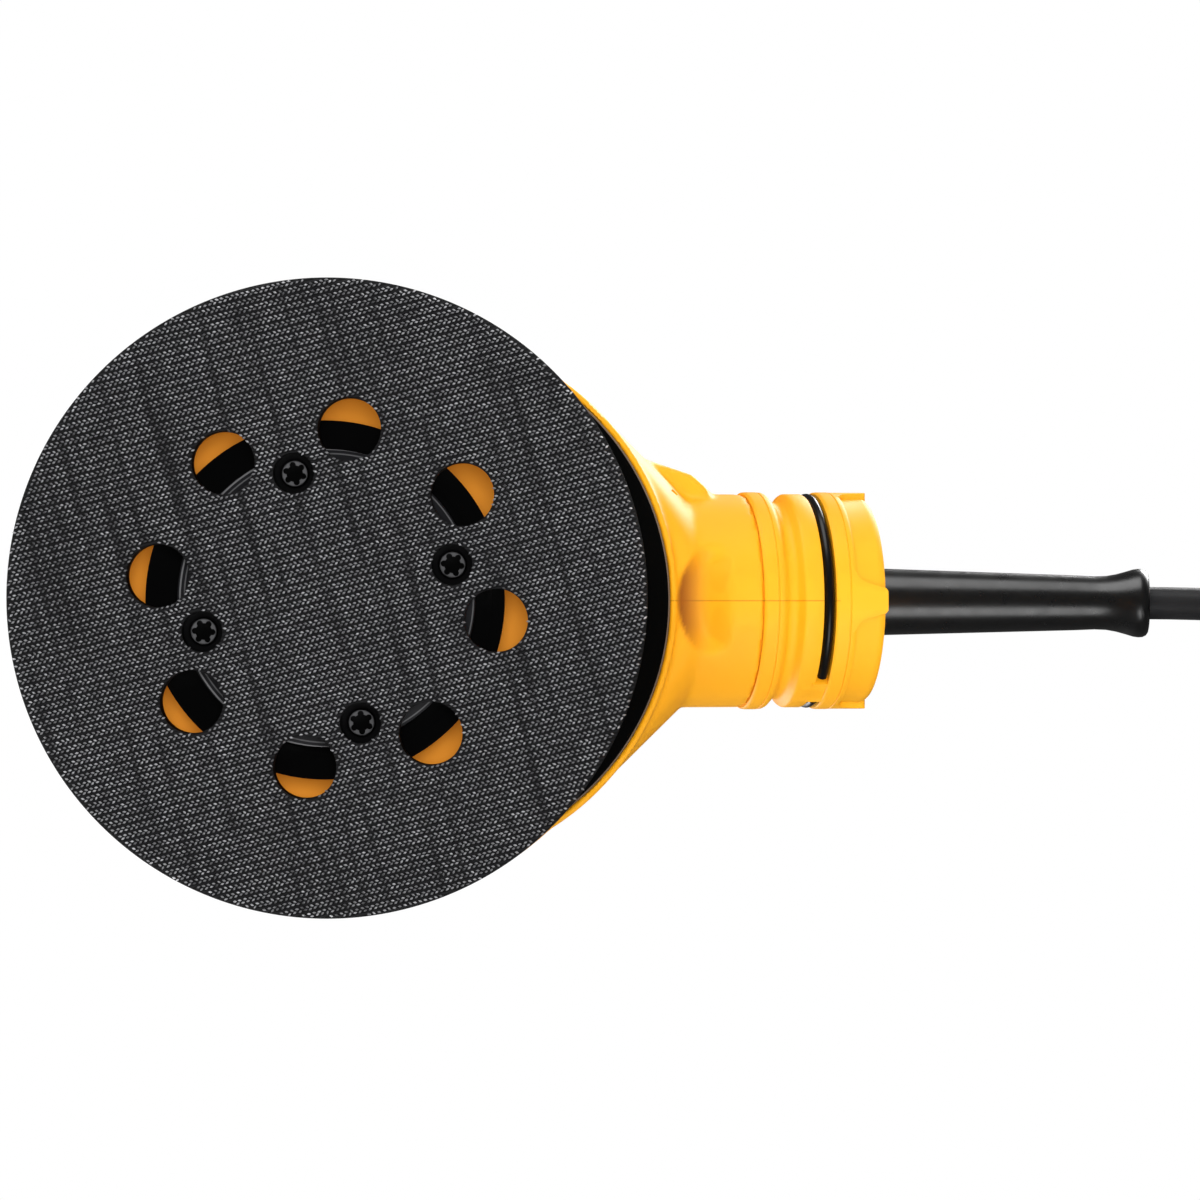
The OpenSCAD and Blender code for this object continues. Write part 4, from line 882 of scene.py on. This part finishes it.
for node, piece in frame["nodes"].items():
    piece.data.materials.clear()
    piece.data.materials.append(FINISH[SLOT[node]])


def dress(node, body, name, width, segments=2):
    """The CAD node's shape with its loose triangles merged and its edges rounded."""
    piece = soften(copy_of(node, name), width, segments)
    return put(piece, body, FINISH[SLOT[node]], SLOT[node], node)


# The hook sheet: a woven tape with two sets of hooks in staggered rows
tape = pad_disc("hook_tape", PAD_RADIUS - 0.15, TAPE_FOOT, TAPE_TOP)
put(smooth(tape), "pad", FINISH["hook_sheet"], "hook_sheet", "hook_face")
upright = hook_rows("hooks_even_rows", 0, 0.23, 10)
put(upright, "pad", nylon_hook("nylon_hook_upright", "#9A9A9D", "#EAEAEE"), "hook_sheet")
slanting = hook_rows("hooks_odd_rows", 1, 0.225, -36)
put(slanting, "pad", nylon_hook("nylon_hook_slanting", "#8C8C8F", "#DCDCE0"), "hook_sheet")

foam = pad_disc("foam_cushion", PAD_RADIUS, TAPE_TOP, FOAM_TOP)
put(soften(foam, 0.7, 3), "pad", FINISH["foam"], "foam", "pad_foam")

# The pad's screws, seen at the bottom of their wells, and its hub behind them
put(screw_set(), "pad", socket_steel(), "black_screw", "pad_screws")
put(hub_plate(), "pad", coat_painted_highlights(), "coated_steel", "pad_hub")

# The shroud, its port and the spring ring in the port's groove
put(shroud_shell(), "housing", shroud_abs("yellow_abs_shroud"), "yellow_plastic", "shroud")
put(dust_port(), "housing", shroud_abs("yellow_abs_port"), "yellow_plastic")
snap = ring_bar("snap_ring", GROOVE_R + 0.95, RING_BAR, BRIDGE + 13, 334, GROOVE_U + GROOVE_W / 2)
spring_coat = moulded("black_coated_spring_ring", "#0A0808", "#060505", 0.3, 0.6, 0.002, swing=0.03)
put(smooth(snap, 60), "housing", spring_coat, "black_plastic", "port_snap_ring")
skirt = dress("dust_skirt", "housing", "skirt_lip", 0.35)
skirt.material_slots[0].material = lip_rubber()

# What shows through the dust holes
put(baffle_disc(), "housing", FINISH["black_plastic"], "black_plastic", "baffle_plate")
put(fan_wheel(), "rotor", FINISH["fan_plastic"], "fan_plastic", "eccentric_fan")

# The body, its grip and its controls, with their edges rounded
for node, body, name, width, segments in (
        ("housing_left", "housing", "body_left", 0.3, 2),
        ("housing_right", "housing", "body_right", 0.3, 2),
        ("palm_grip", "housing", "grip_cover", 0.6, 3),
        ("switch_bezel", "housing", "switch_frame", 0.4, 2),
        ("switch_rocker", "rocker", "rocker_key", 0.5, 3),
        ("speed_dial", "dial", "speed_wheel", 0.25, 2),
        ("plug_body", "housing", "plug_grip", 0.6, 3)):
    dress(node, body, name, width, segments)

# The boot and the cord that leaves it
glossy_boot = moulded("glossy_pvc_boot", "#070708", "#050505", 0.3, 3.0, 0.002, IOR=1.85)
put(cord_boot(), "housing", glossy_boot, "soft_rubber", "cord_sleeve")
cord, cord_length = free_cord()
put(cord, "housing", FINISH["cord_jacket"], "cord_jacket", "cord", "cord_tail", "cord_coil")
